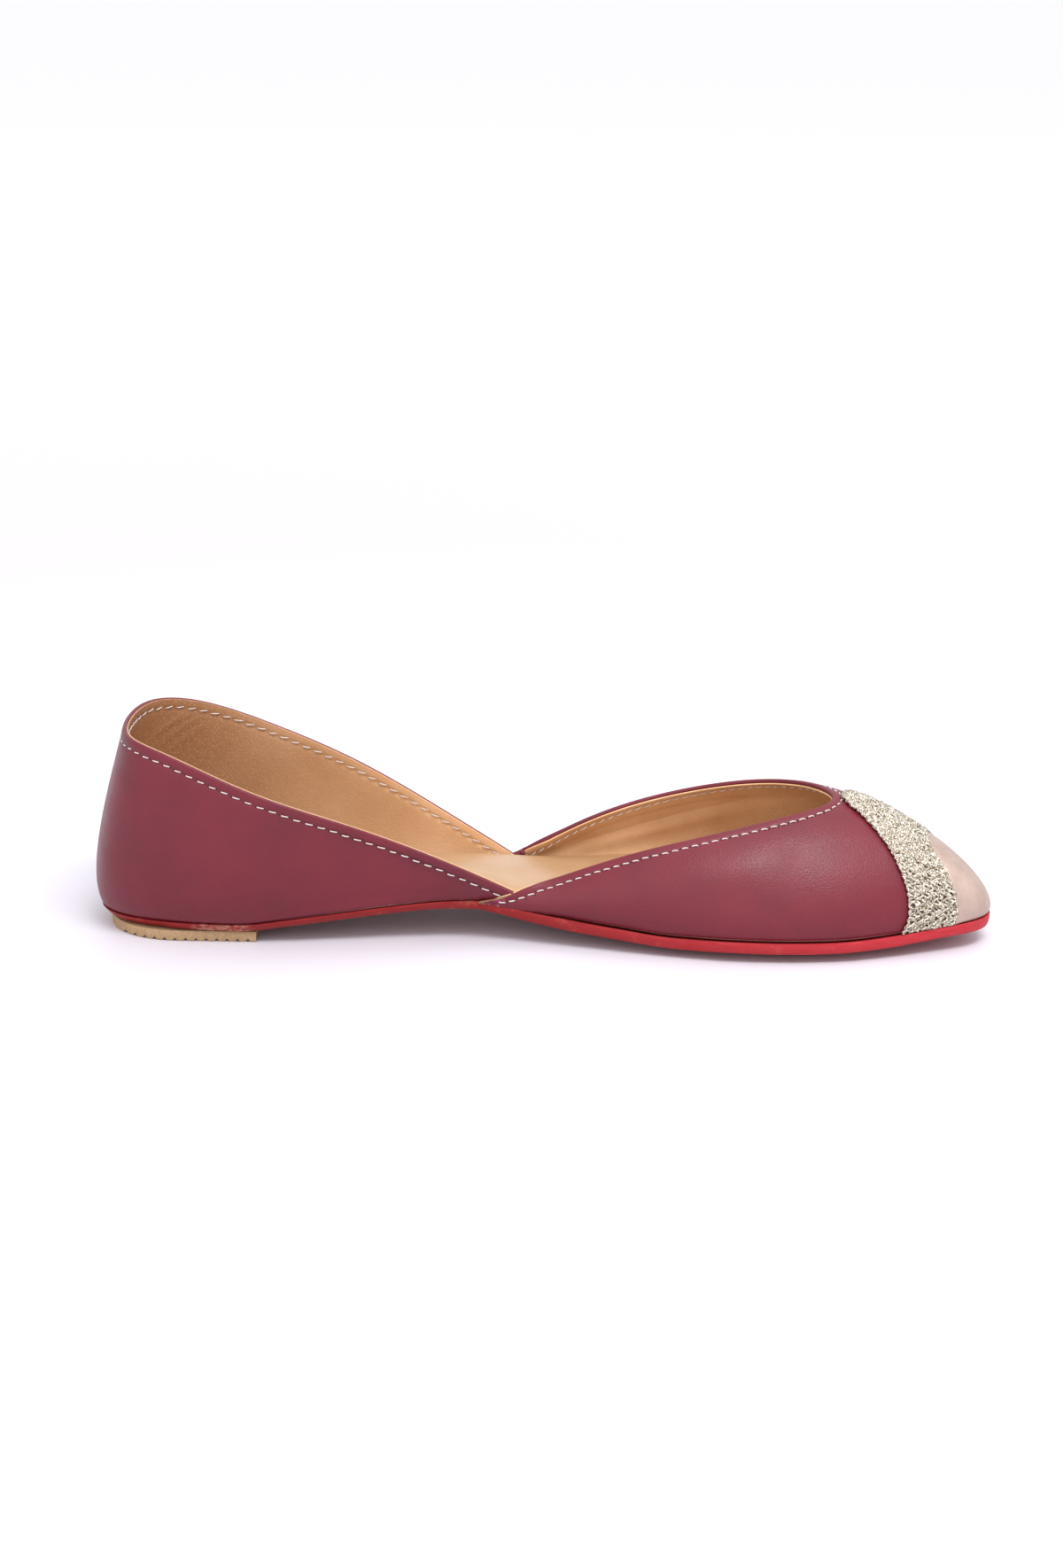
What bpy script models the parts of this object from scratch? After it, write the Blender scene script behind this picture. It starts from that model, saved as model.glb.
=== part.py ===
"""A left mojari: a low slip-on shoe of soft leather on a flat leather sole.

The toe points to +X, the lateral side is +Y and the medial side, with the arch, is -Y. The shoe stands
on the plane z = 0. The upper is one closed sheet round the foot. It is worked out from ribs: each rib is
a Bezier curve that starts on the foot line, where the upper meets the sole, and ends on the topline,
which is the edge of the opening. Every other piece takes its place from that sheet or from the sole.
"""

import math
from collections import namedtuple

import bmesh
import bpy
import numpy as np

# Main sizes of the last, in metres.
LENGTH = 0.2490  # from the back of the heel to the toe, along the foot line
BALL_WIDTH = 0.0760  # across the foot line at the ball
HEEL_HEIGHT = 0.0572  # topline over the floor at the back of the heel
INSTEP_HEIGHT = 0.0388  # topline over the floor at the throat, over the toes

# Leather sheets and what they leave between them.
UPPER_WALL = 0.0018  # leather and lining together
LAP_STEP = 0.0011  # how far the vamp stands proud where it laps over the quarter
LAP_FADE = 0.022  # length over which that step sinks back into the vamp
LAP_EDGE = 0.0005  # length of the step's edge along the foot line
CAP_THICKNESS = 0.0008
BRAID_THICKNESS = 0.0014
GAP = 0.0003  # clearance between pieces that touch

# Sole, heel pad and insole.
SOLE_THICKNESS = 0.0032
SOLE_MARGIN = 0.0010  # how far the sole stands out past the upper at the forefoot
SOLE_BEVEL = 0.0022  # how far the sole's lower edge is cut in under the heel
ARCH_RISE = 0.0093  # lift of the sole's underside at the medial waist
EDGE_CURL = 0.0029  # lift of the sole's edges beside the forefoot's flat strip
TOE_SPRING = 0.0046  # lift of the sole's underside at the toe
HEEL_PAD_THICKNESS = 0.0030
HEEL_PAD_LENGTH = 0.0430
HEEL_PAD_WIDTH = 0.0440
HEEL_PAD_SETBACK = 0.0036  # from the back of the foot line to the back of the pad
TREAD_PITCH = 0.0029  # from one groove under the pad to the next
TREAD_DEPTH = 0.0008
TREAD_LAND = 0.58  # share of the pitch that stays flat on the floor
INSOLE_THICKNESS = 0.0040
INSOLE_CROWN = 0.0012  # how much higher the padded insole is along its middle
INSOLE_CLEARANCE = 0.0008  # from the insole to the inside of the upper
INSOLE_LIFT = 0.0006  # over the sole, where the turned-in edge of the upper and the cement lie
INSOLE_EDGE = 0.55  # share of the insole's thickness that its side stands upright
INSOLE_ROUND = 0.0015  # how far the insole's upper edge is rounded in
INSOLE_TOE_THIN = 0.5  # share of its thickness that the insole loses at the toe
INSOLE_THIN_FROM = 0.6  # share of LENGTH at which it starts to thin
EDGE_ROUND = 0.08  # bulge of the sole's edge, share of its thickness
EDGE_ROWS = (0.35, 0.75)  # how far down the edge the bulge starts and ends, share of its thickness
PAD_ROUNDNESS = 2.2  # of the heel pad's outline at the back: 2 is round, more is squarer
PAD_TAPER = 0.985  # width of the pad's underside, share of its top's
PAD_BACK_LINES = (0.0, 0.08, 0.3, 0.7)  # sections through the pad's round back, share of that stretch
CAP_INSET = 0.014  # share of the ribs by which the cap stays clear of the braid
CAP_REACH = 0.93  # share of the way to the braid's front corner that the cap goes round

# How finely the sheets are divided.
QUARTER_STEPS = 26  # along the foot line from the back of the heel to the lap, each side
VAMP_STEPS = 34  # from the lap to the toe, each side
RIB_STEPS = 8  # from the foot line to the topline
RIM_STEPS = 4  # round the topline's edge
SOLE_ACROSS = 6  # across the sole and the insole
BAND_STEPS = 40  # along the braid band and the toe cap
BAND_ACROSS = 5
PAD_ACROSS = 2

# The ribs, from the back of the heel to the toe. foot_x and top_x are shares of LENGTH, the four side
# columns are shares of BALL_WIDTH, and the two heights are shares of HEEL_HEIGHT up to the lap and of
# INSTEP_HEIGHT from the lap on.
Rib = namedtuple(
    "Rib", "place foot_x foot_lateral foot_medial top_x top_lateral top_medial high_lateral high_medial"
)
RIBS = [
    Rib("heel back", 0.003, 0.000, 0.000, 0.035, 0.000, 0.000, 1.000, 1.000),
    Rib("heel corner", 0.022, 0.182, 0.180, 0.047, 0.226, 0.216, 1.007, 0.995),
    Rib("heel side", 0.080, 0.290, 0.282, 0.092, 0.350, 0.342, 0.979, 0.955),
    Rib("quarter", 0.185, 0.330, 0.318, 0.190, 0.398, 0.395, 0.832, 0.785),
    Rib("quarter front", 0.305, 0.338, 0.288, 0.305, 0.364, 0.347, 0.619, 0.595),
    Rib("waist", 0.395, 0.335, 0.250, 0.405, 0.345, 0.288, 0.364, 0.400),
    Rib("lap", 0.446, 0.342, 0.245, 0.470, 0.350, 0.264, 0.266, 0.386),
    Rib("vamp back", 0.515, 0.380, 0.280, 0.520, 0.325, 0.240, 0.488, 0.486),
    Rib("vamp", 0.600, 0.455, 0.345, 0.595, 0.350, 0.270, 0.689, 0.674),
    Rib("ball", 0.700, 0.530, 0.415, 0.685, 0.350, 0.265, 0.842, 0.829),
    Rib("toe side", 0.830, 0.495, 0.410, 0.768, 0.240, 0.205, 0.962, 0.936),
    Rib("toe corner", 0.945, 0.240, 0.285, 0.815, 0.085, 0.125, 1.005, 0.985),
    Rib("toe", 1.000, -0.115, 0.115, 0.828, -0.030, 0.030, 1.000, 1.000),
]
LAP_ROW = 6

# How each rib bows between its ends, as shares of its own height: swell is how far it leaves the foot
# outwards while it rises by rise, and drop is how far it falls from the topline while it goes reach of the
# way to the foot line and puff outwards.
Bow = namedtuple("Bow", "place swell rise reach puff drop")
BOWS = [
    Bow("heel back", 0.090, 0.190, 0.30, 0.030, 0.290),
    Bow("heel corner", 0.100, 0.200, 0.30, 0.035, 0.290),
    Bow("heel side", 0.120, 0.230, 0.30, 0.035, 0.300),
    Bow("quarter", 0.130, 0.270, 0.30, 0.025, 0.320),
    Bow("quarter front", 0.150, 0.300, 0.30, 0.015, 0.320),
    Bow("waist", 0.160, 0.320, 0.30, 0.020, 0.320),
    Bow("lap", 0.200, 0.330, 0.32, 0.050, 0.300),
    Bow("vamp back", 0.240, 0.330, 0.34, 0.150, 0.260),
    Bow("vamp", 0.190, 0.330, 0.38, 0.150, 0.230),
    Bow("ball", 0.150, 0.340, 0.42, 0.120, 0.180),
    Bow("toe side", 0.120, 0.330, 0.44, 0.060, 0.130),
    Bow("toe corner", 0.090, 0.290, 0.44, 0.020, 0.085),
    Bow("toe", 0.080, 0.280, 0.44, 0.000, 0.073),
]

# The sole's underside along the shoe: x is a share of LENGTH, and the others are shares of the heel seat's
# height, ARCH_RISE, EDGE_CURL, TOE_SPRING, SOLE_THICKNESS, SOLE_MARGIN and SOLE_BEVEL.
Under = namedtuple("Under", "x seat arch curl spring thick margin bevel")
UNDERSIDE = [
    Under(0.000, 1.00, 0.00, 0.00, 0.00, 0.70, 0.0, 1.00),
    Under(0.165, 1.00, 0.00, 0.00, 0.00, 0.70, 0.0, 0.80),
    Under(0.220, 0.94, 0.18, 0.00, 0.00, 0.70, 0.0, 0.70),
    Under(0.280, 0.77, 0.45, 0.00, 0.00, 0.70, 0.0, 0.60),
    Under(0.345, 0.50, 0.74, 0.00, 0.00, 0.70, 0.1, 0.50),
    Under(0.410, 0.30, 0.92, 0.00, 0.00, 0.74, 0.4, 0.40),
    Under(0.430, 0.25, 0.93, 0.00, 0.00, 0.78, 0.5, 0.35),
    Under(0.455, 0.20, 0.80, 0.10, 0.00, 0.85, 0.65, 0.30),
    Under(0.495, 0.10, 0.58, 0.25, 0.00, 0.95, 0.8, 0.25),
    Under(0.535, 0.05, 0.40, 0.45, 0.00, 1.00, 1.0, 0.20),
    Under(0.590, 0.00, 0.17, 0.80, 0.00, 1.00, 1.0, 0.20),
    Under(0.650, 0.00, 0.00, 1.00, 0.00, 1.00, 1.0, 0.20),
    Under(0.825, 0.00, 0.00, 1.00, 0.00, 1.00, 1.0, 0.20),
    Under(0.885, 0.00, 0.00, 0.80, 0.25, 1.00, 1.0, 0.20),
    Under(0.945, 0.00, 0.00, 0.45, 0.70, 1.00, 1.0, 0.20),
    Under(1.000, 0.00, 0.00, 0.00, 1.10, 1.00, 1.0, 0.20),
]
ARCH_MEDIAL = 1.00
ARCH_MIDDLE = 0.80
ARCH_LATERAL = 0.52
FLAT_SHARE = 0.35  # of the sole's half width that stays level under the forefoot

# The braid band over the toes and the toe cap ahead of it. round is the share of the way from the toe tip
# to the place where the band's edge reaches the foot line, and high is the share of the rib there.
Edge = namedtuple("Edge", "round high")
BRAID_BACK = [
    Edge(0.00, 0.970),
    Edge(0.25, 0.940),
    Edge(0.50, 0.815),
    Edge(0.75, 0.500),
    Edge(1.00, 0.000),
]
BRAID_FRONT = [
    Edge(0.00, 0.580),
    Edge(0.35, 0.545),
    Edge(0.70, 0.360),
    Edge(1.00, 0.000),
]
BRAID_BACK_FOOT = 0.898  # where the band's back edge meets the foot line, share of LENGTH
BRAID_FRONT_FOOT = 0.957
FOOT_HEM = 0.015  # share of the ribs that band and cap leave free above the sole


def natural_spline(knots, rows, at):
    """Values at the places `at` of a cubic spline through `rows`, straight beyond its two ends."""
    knots, rows, at = np.asarray(knots, float), np.asarray(rows, float), np.asarray(at, float)
    step = np.diff(knots)
    slope = np.diff(rows, axis=0) / step[:, None]
    count = len(knots)
    system = np.eye(count)
    right = np.zeros_like(rows)
    for i in range(1, count - 1):
        system[i, i - 1 : i + 2] = step[i - 1], 2.0 * (step[i - 1] + step[i]), step[i]
        right[i] = 6.0 * (slope[i] - slope[i - 1])
    bend = np.linalg.solve(system, right)
    cell = np.clip(np.searchsorted(knots, at, side="right") - 1, 0, count - 2)
    h = step[cell][:, None]
    a = (knots[cell + 1] - at)[:, None] / h
    b = 1.0 - a
    smooth = ((a**3 - a) * bend[cell] + (b**3 - b) * bend[cell + 1]) * h**2 / 6.0
    return a * rows[cell] + b * rows[cell + 1] + smooth


def loop_spline(knots, period, rows, at):
    """The same for a closed loop, by carrying the rows round past both ends."""
    knots, rows = np.asarray(knots, float), np.asarray(rows, float)
    wide_knots = np.concatenate([knots - period, knots, knots + period])
    wide_rows = np.concatenate([rows, rows, rows])
    return natural_spline(wide_knots, wide_rows, np.mod(np.asarray(at, float), period))


def level_spline(knots, rows, at):
    """A cubic through `rows` that never swings past them, so level stretches stay level."""
    knots, rows = np.asarray(knots, float), np.asarray(rows, float)
    at = np.clip(np.asarray(at, float), knots[0], knots[-1])
    step = np.diff(knots)[:, None]
    slope = np.diff(rows, axis=0) / step
    inner = (slope[:-1] * step[1:] + slope[1:] * step[:-1]) / (step[:-1] + step[1:])
    limit = np.minimum(np.minimum(np.abs(slope[:-1]), np.abs(slope[1:])), 0.5 * np.abs(inner))
    inner = (np.sign(slope[:-1]) + np.sign(slope[1:])) * limit
    tangent = np.concatenate([slope[:1], inner, slope[-1:]])
    cell = np.clip(np.searchsorted(knots, at, side="right") - 1, 0, len(knots) - 2)
    h = step[cell]
    s = (at - knots[cell])[:, None] / h
    return (
        rows[cell] * (2 * s**3 - 3 * s**2 + 1)
        + tangent[cell] * h * (s**3 - 2 * s**2 + s)
        + rows[cell + 1] * (3 * s**2 - 2 * s**3)
        + tangent[cell + 1] * h * (s**3 - s**2)
    )


class Sole:
    """Heights of the leather sole at any place (x, side), where side runs from -1 medial to 1 lateral."""

    def __init__(self):
        self.rows = np.array([row[1:] for row in UNDERSIDE])
        self.knots = np.array([row.x for row in UNDERSIDE]) * LENGTH

    def shares(self, x):
        return level_spline(self.knots, self.rows, np.ravel(x)).reshape(np.shape(x) + (7,))

    def underside(self, x, side):
        share = self.shares(x)
        medial, lateral = np.clip(-side, 0, 1), np.clip(side, 0, 1)
        arch = ARCH_MIDDLE + (ARCH_MEDIAL - ARCH_MIDDLE) * medial + (ARCH_LATERAL - ARCH_MIDDLE) * lateral
        curl = (np.clip(np.abs(side) - FLAT_SHARE, 0, 1) / (1.0 - FLAT_SHARE)) ** 2
        return (
            share[..., 0] * (HEEL_PAD_THICKNESS + GAP)
            + share[..., 1] * arch * ARCH_RISE
            + share[..., 2] * curl * EDGE_CURL
            + share[..., 3] * TOE_SPRING
        )

    def top(self, x, side):
        return self.underside(x, side) + self.shares(x)[..., 4] * SOLE_THICKNESS

    def margin(self, x):
        return self.shares(x)[..., 5] * SOLE_MARGIN

    def bevel(self, x):
        return self.shares(x)[..., 6] * SOLE_BEVEL


class Upper:
    """The sheet of the upper: place(t, v) for t round the foot line and v from the foot line up a rib.

    t is 0 at the back of the heel, grows along the lateral side to `half` at the toe, and comes back along
    the medial side to 2 * half.
    """

    def __init__(self, sole):
        self.sole = sole
        lateral = np.array([[r.foot_x * LENGTH, r.foot_lateral * BALL_WIDTH] for r in RIBS])
        medial = np.array([[r.foot_x * LENGTH, -r.foot_medial * BALL_WIDTH] for r in RIBS])
        chords = 0.5 * (self.chord(lateral) + self.chord(medial))
        self.knots = np.concatenate([[0.0], np.cumsum(chords)])
        self.half = self.knots[-1]
        self.lap = self.knots[LAP_ROW]
        self.loop_knots = np.concatenate([self.knots, 2 * self.half - self.knots[-2:0:-1]])
        self.foot_rows = np.concatenate([lateral, medial[-2:0:-1]])
        bows = np.array([row[1:] for row in BOWS])
        self.bow_rows = np.concatenate([bows, bows[-2:0:-1]])
        tall = [HEEL_HEIGHT if i < LAP_ROW else INSTEP_HEIGHT for i in range(len(RIBS))]
        self.top_lateral = np.array(
            [[r.top_x * LENGTH, r.top_lateral * BALL_WIDTH, r.high_lateral * h] for r, h in zip(RIBS, tall)]
        )
        self.top_medial = np.array(
            [[r.top_x * LENGTH, -r.top_medial * BALL_WIDTH, r.high_medial * h] for r, h in zip(RIBS, tall)]
        )

    @staticmethod
    def chord(points):
        return np.linalg.norm(np.diff(points, axis=0), axis=1)

    def foot_plan(self, t):
        return loop_spline(self.loop_knots, 2 * self.half, self.foot_rows, t)

    def outward(self, t, step=1e-4):
        """Level direction that points away from the foot, square to the foot line."""
        along = self.foot_plan(t + step) - self.foot_plan(t - step)
        along /= np.linalg.norm(along, axis=1)[:, None]
        return np.stack([-along[:, 1], along[:, 0]], axis=1)

    def side(self, t):
        """Where a place on the foot line lies across the sole: 1 lateral, -1 medial."""
        return np.where(np.mod(t, 2 * self.half) <= self.half, 1.0, -1.0)

    def foot(self, t):
        plan = self.foot_plan(t)
        high = self.sole.top(plan[:, 0], self.side(t)) + GAP
        return np.column_stack([plan, high])

    def topline(self, t, vamp):
        t = np.mod(t, 2 * self.half)
        if vamp:
            knots = np.concatenate([self.knots[LAP_ROW:], 2 * self.half - self.knots[-2 : LAP_ROW - 1 : -1]])
            rows = np.concatenate([self.top_lateral[LAP_ROW:], self.top_medial[-2 : LAP_ROW - 1 : -1]])
            return natural_spline(knots, rows, t)
        t = np.where(t > self.half, t - 2 * self.half, t)
        knots = np.concatenate([-self.knots[LAP_ROW:0:-1], self.knots[: LAP_ROW + 1]])
        rows = np.concatenate([self.top_medial[LAP_ROW:0:-1], self.top_lateral[: LAP_ROW + 1]])
        return natural_spline(knots, rows, t)

    def place(self, t, v, vamp):
        """Points of the sheet's outer face: a cubic Bezier from the foot line to the topline."""
        t, v = np.broadcast_arrays(np.asarray(t, float), np.asarray(v, float))
        flat = t.ravel()
        foot, top = self.foot(flat), self.topline(flat, vamp)
        swell, rise, reach, puff, drop = loop_spline(self.loop_knots, 2 * self.half, self.bow_rows, flat).T
        out = np.column_stack([self.outward(flat), np.zeros(len(flat))])
        tall = top[:, 2] - foot[:, 2]
        up = np.array([0.0, 0.0, 1.0])
        back = (foot - top) * np.array([1.0, 1.0, 0.0])
        low = foot + out * (swell * tall)[:, None] + up * (rise * tall)[:, None]
        high = top + back * reach[:, None] + out * (puff * tall)[:, None] - up * (drop * tall)[:, None]
        s = v.ravel()[:, None]
        points = foot * (1 - s) ** 3 + low * 3 * s * (1 - s) ** 2 + high * 3 * s**2 * (1 - s) + top * s**3
        return points.reshape(t.shape + (3,))

    def frame(self, t, v, vamp):
        """Points, outward normals and upward directions of the sheet."""
        dt, dv = 2e-4, 2e-3
        along = self.place(t + dt, v, vamp) - self.place(t - dt, v, vamp)
        up = self.place(t, np.minimum(v + dv, 1), vamp) - self.place(t, np.maximum(v - dv, 0), vamp)
        normal = np.cross(up, along)
        normal /= np.linalg.norm(normal, axis=-1)[..., None]
        up /= np.linalg.norm(up, axis=-1)[..., None]
        return self.place(t, v, vamp), normal, up

    def step(self, t):
        """How far the vamp stands proud of the quarter, fading away from the lap towards the toe."""
        beyond = np.minimum(t, 2 * self.half - t) - self.lap
        return LAP_STEP * 0.5 * (1 + np.cos(np.pi * np.clip(beyond / LAP_FADE, 0, 1)))

    def at_foot_x(self, share):
        """The t on the lateral side whose foot lies at this share of LENGTH."""
        t = np.linspace(0, self.half, 2001)
        return float(np.interp(share * LENGTH, self.foot_plan(t)[:, 0], t))


def new_mesh_object(name, collection, points, faces, material):
    mesh = bpy.data.meshes.new(name)
    mesh.from_pydata([tuple(p) for p in points], [], faces)
    bm = bmesh.new()
    bm.from_mesh(mesh)
    bmesh.ops.remove_doubles(bm, verts=bm.verts, dist=1e-6)
    bmesh.ops.recalc_face_normals(bm, faces=bm.faces)
    bm.to_mesh(mesh)
    bm.free()
    mesh.shade_smooth()
    mesh.set_sharp_from_angle(angle=math.radians(40))
    mesh.materials.append(material)
    obj = bpy.data.objects.new(name, mesh)
    collection.objects.link(obj)
    return obj


def ring_faces(count, size, closed):
    """Quads between `count` rings of `size` points, with the last ring joined to the first if closed."""
    faces = []
    for i in range(count if closed else count - 1):
        j = (i + 1) % count
        for k in range(size):
            m = (k + 1) % size
            faces.append((i * size + k, i * size + m, j * size + m, j * size + k))
    return faces


def finish(name, colour, roughness, metallic=0.0):
    material = bpy.data.materials.new(name)
    material.use_nodes = True
    shader = material.node_tree.nodes["Principled BSDF"]
    shader.inputs["Base Color"].default_value = (*colour, 1.0)
    shader.inputs["Roughness"].default_value = roughness
    shader.inputs["Metallic"].default_value = metallic
    return material


def upper_columns(upper):
    """The places t round the foot line, each with whether it belongs to the vamp."""
    lap, half = upper.lap, upper.half
    back = np.linspace(0, lap - LAP_EDGE, QUARTER_STEPS + 1)
    front = np.linspace(lap, half, VAMP_STEPS + 1)
    t = np.concatenate([back, front, 2 * half - front[-2::-1], 2 * half - back[:0:-1]])
    vamp = np.minimum(t, 2 * half - t) >= lap - 1e-9
    return t, vamp


def make_upper(upper, collection):
    """One hollow solid: outer face up, round the topline's edge, inner face down."""
    t, vamp = upper_columns(upper)
    v = np.linspace(0, 1, RIB_STEPS + 1)
    rings = []
    for here, is_vamp in zip(t, vamp):
        points, normal, up = upper.frame(np.full(v.shape, here), v, bool(is_vamp))
        proud = upper.step(here) if is_vamp else 0.0
        outer = points + normal * proud
        inner = points - normal * UPPER_WALL
        outer[0, 2] = inner[0, 2] = points[0, 2]
        middle, reach = (outer[-1] + inner[-1]) / 2, (outer[-1] - inner[-1]) / 2
        turn = np.linspace(0, np.pi, RIM_STEPS + 1)[1:-1, None]
        rim = middle + reach * np.cos(turn) + up[-1] * (UPPER_WALL / 2) * np.sin(turn)
        rings.append(np.concatenate([outer, rim, inner[::-1]]))
    size = len(rings[0])
    faces = ring_faces(len(rings), size, closed=True)
    material = finish("maroon_leather", (0.19, 0.045, 0.06), 0.45)
    return new_mesh_object("upper", collection, np.concatenate(rings), faces, material)


def paired(upper):
    """Places t along the lateral side from heel to toe, and the same places on the medial side."""
    lap, half = upper.lap, upper.half
    t = np.concatenate([np.linspace(0, lap, QUARTER_STEPS + 1), np.linspace(lap, half, VAMP_STEPS + 1)[1:]])
    return t, 2 * half - t


def outline(upper, t, offset):
    """The foot line in plan, moved outwards by offset."""
    return upper.foot_plan(t) + upper.outward(t) * np.asarray(offset)[:, None]


def across(lateral, medial, steps):
    """Points from the lateral to the medial outline, with side running from 1 to -1 along each row."""
    share = np.linspace(0, 1, steps + 1)[None, :, None]
    points = lateral[:, None] * (1 - share) + medial[:, None] * share
    return points, np.broadcast_to(1 - 2 * share[..., 0], points.shape[:2])


def make_outsole(upper, collection):
    """Each section across the sole is a closed ring: top, medial edge, underside, lateral edge."""
    sole = upper.sole
    lateral_t, medial_t = paired(upper)
    x = upper.foot_plan(lateral_t)[:, 0], upper.foot_plan(medial_t)[:, 0]
    wide = [outline(upper, t, sole.margin(at)) for t, at in zip((lateral_t, medial_t), x)]
    low = [outline(upper, t, sole.margin(at) - sole.bevel(at)) for t, at in zip((lateral_t, medial_t), x)]
    top, side = across(*wide, SOLE_ACROSS)
    under, _ = across(*low, SOLE_ACROSS)
    top = np.dstack([top, sole.top(top[..., 0], side)])
    under = np.dstack([under, sole.underside(under[..., 0], side)])
    medial_edge = np.stack([top[:, -1] * (1 - e) + under[:, -1] * e for e in EDGE_ROWS], axis=1)
    lateral_edge = np.stack([under[:, 0] * e + top[:, 0] * (1 - e) for e in EDGE_ROWS[::-1]], axis=1)
    bulge = SOLE_THICKNESS * EDGE_ROUND
    for rows, t in ((medial_edge, medial_t), (lateral_edge, lateral_t)):
        rows[..., :2] += upper.outward(t)[:, None] * bulge
    rings = np.concatenate([top, medial_edge, under[:, ::-1], lateral_edge], axis=1)
    faces = ring_faces(rings.shape[0], rings.shape[1], closed=False)
    material = finish("red_sole_leather", (0.56, 0.035, 0.04), 0.5)
    return new_mesh_object("outsole", collection, rings.reshape(-1, 3), faces, material)


def make_heel_pad(upper, collection):
    """A rubber pad with a round back and a straight front, and a row of grooves across its underside."""
    radius = HEEL_PAD_WIDTH / 2
    grooves = int((HEEL_PAD_LENGTH - TREAD_PITCH) / TREAD_PITCH)
    back = HEEL_PAD_LENGTH - TREAD_PITCH * (grooves + 0.5)
    along = [(share * back, 0.0) for share in PAD_BACK_LINES]
    for i in range(grooves):
        start = back + i * TREAD_PITCH
        land = TREAD_PITCH * TREAD_LAND
        along += [(start, 0.0), (start + land, 0.0), (start + (TREAD_PITCH + land) / 2, TREAD_DEPTH)]
    along += [(back + grooves * TREAD_PITCH, 0.0), (HEEL_PAD_LENGTH, 0.0)]
    rings = []
    for distance, lift in along:
        bow = np.clip(1 - distance / radius, 0, 1)
        half = radius * (1 - bow**PAD_ROUNDNESS) ** (1 / PAD_ROUNDNESS)
        x = HEEL_PAD_SETBACK + distance
        y = np.linspace(half, -half, PAD_ACROSS + 1)
        top = np.column_stack([np.full(y.shape, x), y, np.full(y.shape, HEEL_PAD_THICKNESS)])
        under = np.column_stack([np.full(y.shape, x), y[::-1] * PAD_TAPER, np.full(y.shape, lift)])
        rings.append(np.concatenate([top, under]))
    size = len(rings[0])
    faces = ring_faces(len(rings), size, closed=False)
    faces.append(tuple(range((len(rings) - 1) * size, len(rings) * size)))
    material = finish("crepe_rubber", (0.62, 0.45, 0.26), 0.8)
    return new_mesh_object("heel_pad", collection, np.concatenate(rings), faces, material)


def make_insole(upper, collection):
    """The padded insole: it follows the sole inside the upper and is crowned along its middle."""
    sole = upper.sole
    lateral_t, medial_t = paired(upper)
    inset = -(UPPER_WALL + INSOLE_CLEARANCE)
    rims = [outline(upper, t, np.full(t.shape, inset)) for t in (lateral_t, medial_t)]
    inner = [outline(upper, t, np.full(t.shape, inset - INSOLE_ROUND)) for t in (lateral_t, medial_t)]
    top, side = across(*inner, SOLE_ACROSS)
    under, _ = across(*rims, SOLE_ACROSS)
    ahead = np.clip((top[..., 0] / LENGTH - INSOLE_THIN_FROM) / (1 - INSOLE_THIN_FROM), 0, 1)
    thin = 1 - INSOLE_TOE_THIN * ahead
    crown = INSOLE_CROWN * (1 - side**2)
    bed = sole.top(under[..., 0], side) + INSOLE_LIFT
    under = np.dstack([under, bed])
    top = np.dstack([top, sole.top(top[..., 0], side) + INSOLE_LIFT + INSOLE_THICKNESS * thin + crown])
    medial_edge = under[:, -1:] + np.array([0, 0, INSOLE_EDGE * INSOLE_THICKNESS]) * thin[:, -1:, None]
    lateral_edge = under[:, :1] + np.array([0, 0, INSOLE_EDGE * INSOLE_THICKNESS]) * thin[:, :1, None]
    rings = np.concatenate([top, medial_edge, under[:, ::-1], lateral_edge], axis=1)
    faces = ring_faces(rings.shape[0], rings.shape[1], closed=False)
    material = finish("tan_leather", (0.62, 0.36, 0.2), 0.5)
    return new_mesh_object("insole", collection, rings.reshape(-1, 3), faces, material)


def edge_heights(rows, share):
    """How high a band's edge runs on the rib at this share of its way round from the toe."""
    knots = [row.round for row in rows]
    return level_spline(knots, np.array([[row.high] for row in rows]), share)[:, 0]


def patch(upper, t, v, low, high):
    """A closed sheet over the upper: rings round each row of (t, v), from offset low to offset high."""
    points, normal, _ = upper.frame(t, v, True)
    base = upper.step(t)[..., None]
    under = points + normal * (base + low)
    over = points + normal * (base + high)
    return np.concatenate([over, under[:, ::-1]], axis=1)


def make_braid_band(upper, collection):
    """The braid over the toes: a strip between two edges that both fall from the ridge to the foot line."""
    way = np.linspace(-1, 1, BAND_STEPS + 1)
    back = (upper.half - upper.at_foot_x(BRAID_BACK_FOOT)) * way
    front = (upper.half - upper.at_foot_x(BRAID_FRONT_FOOT)) * way
    v_back = np.maximum(edge_heights(BRAID_BACK, np.abs(way)), FOOT_HEM)
    v_front = np.maximum(edge_heights(BRAID_FRONT, np.abs(way)), FOOT_HEM)
    share = np.linspace(0, 1, BAND_ACROSS + 1)[None, :]
    t = upper.half + back[:, None] * (1 - share) + front[:, None] * share
    v = v_back[:, None] * (1 - share) + v_front[:, None] * share
    rings = patch(upper, t, v, GAP, GAP + BRAID_THICKNESS)
    size = rings.shape[1]
    faces = ring_faces(len(rings), size, closed=False)
    faces += [tuple(range(size)), tuple(range((len(rings) - 1) * size, len(rings) * size))]
    material = finish("metal_thread_braid", (0.62, 0.55, 0.38), 0.45, 0.6)
    return new_mesh_object("braid_band", collection, rings.reshape(-1, 3), faces, material)


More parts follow.
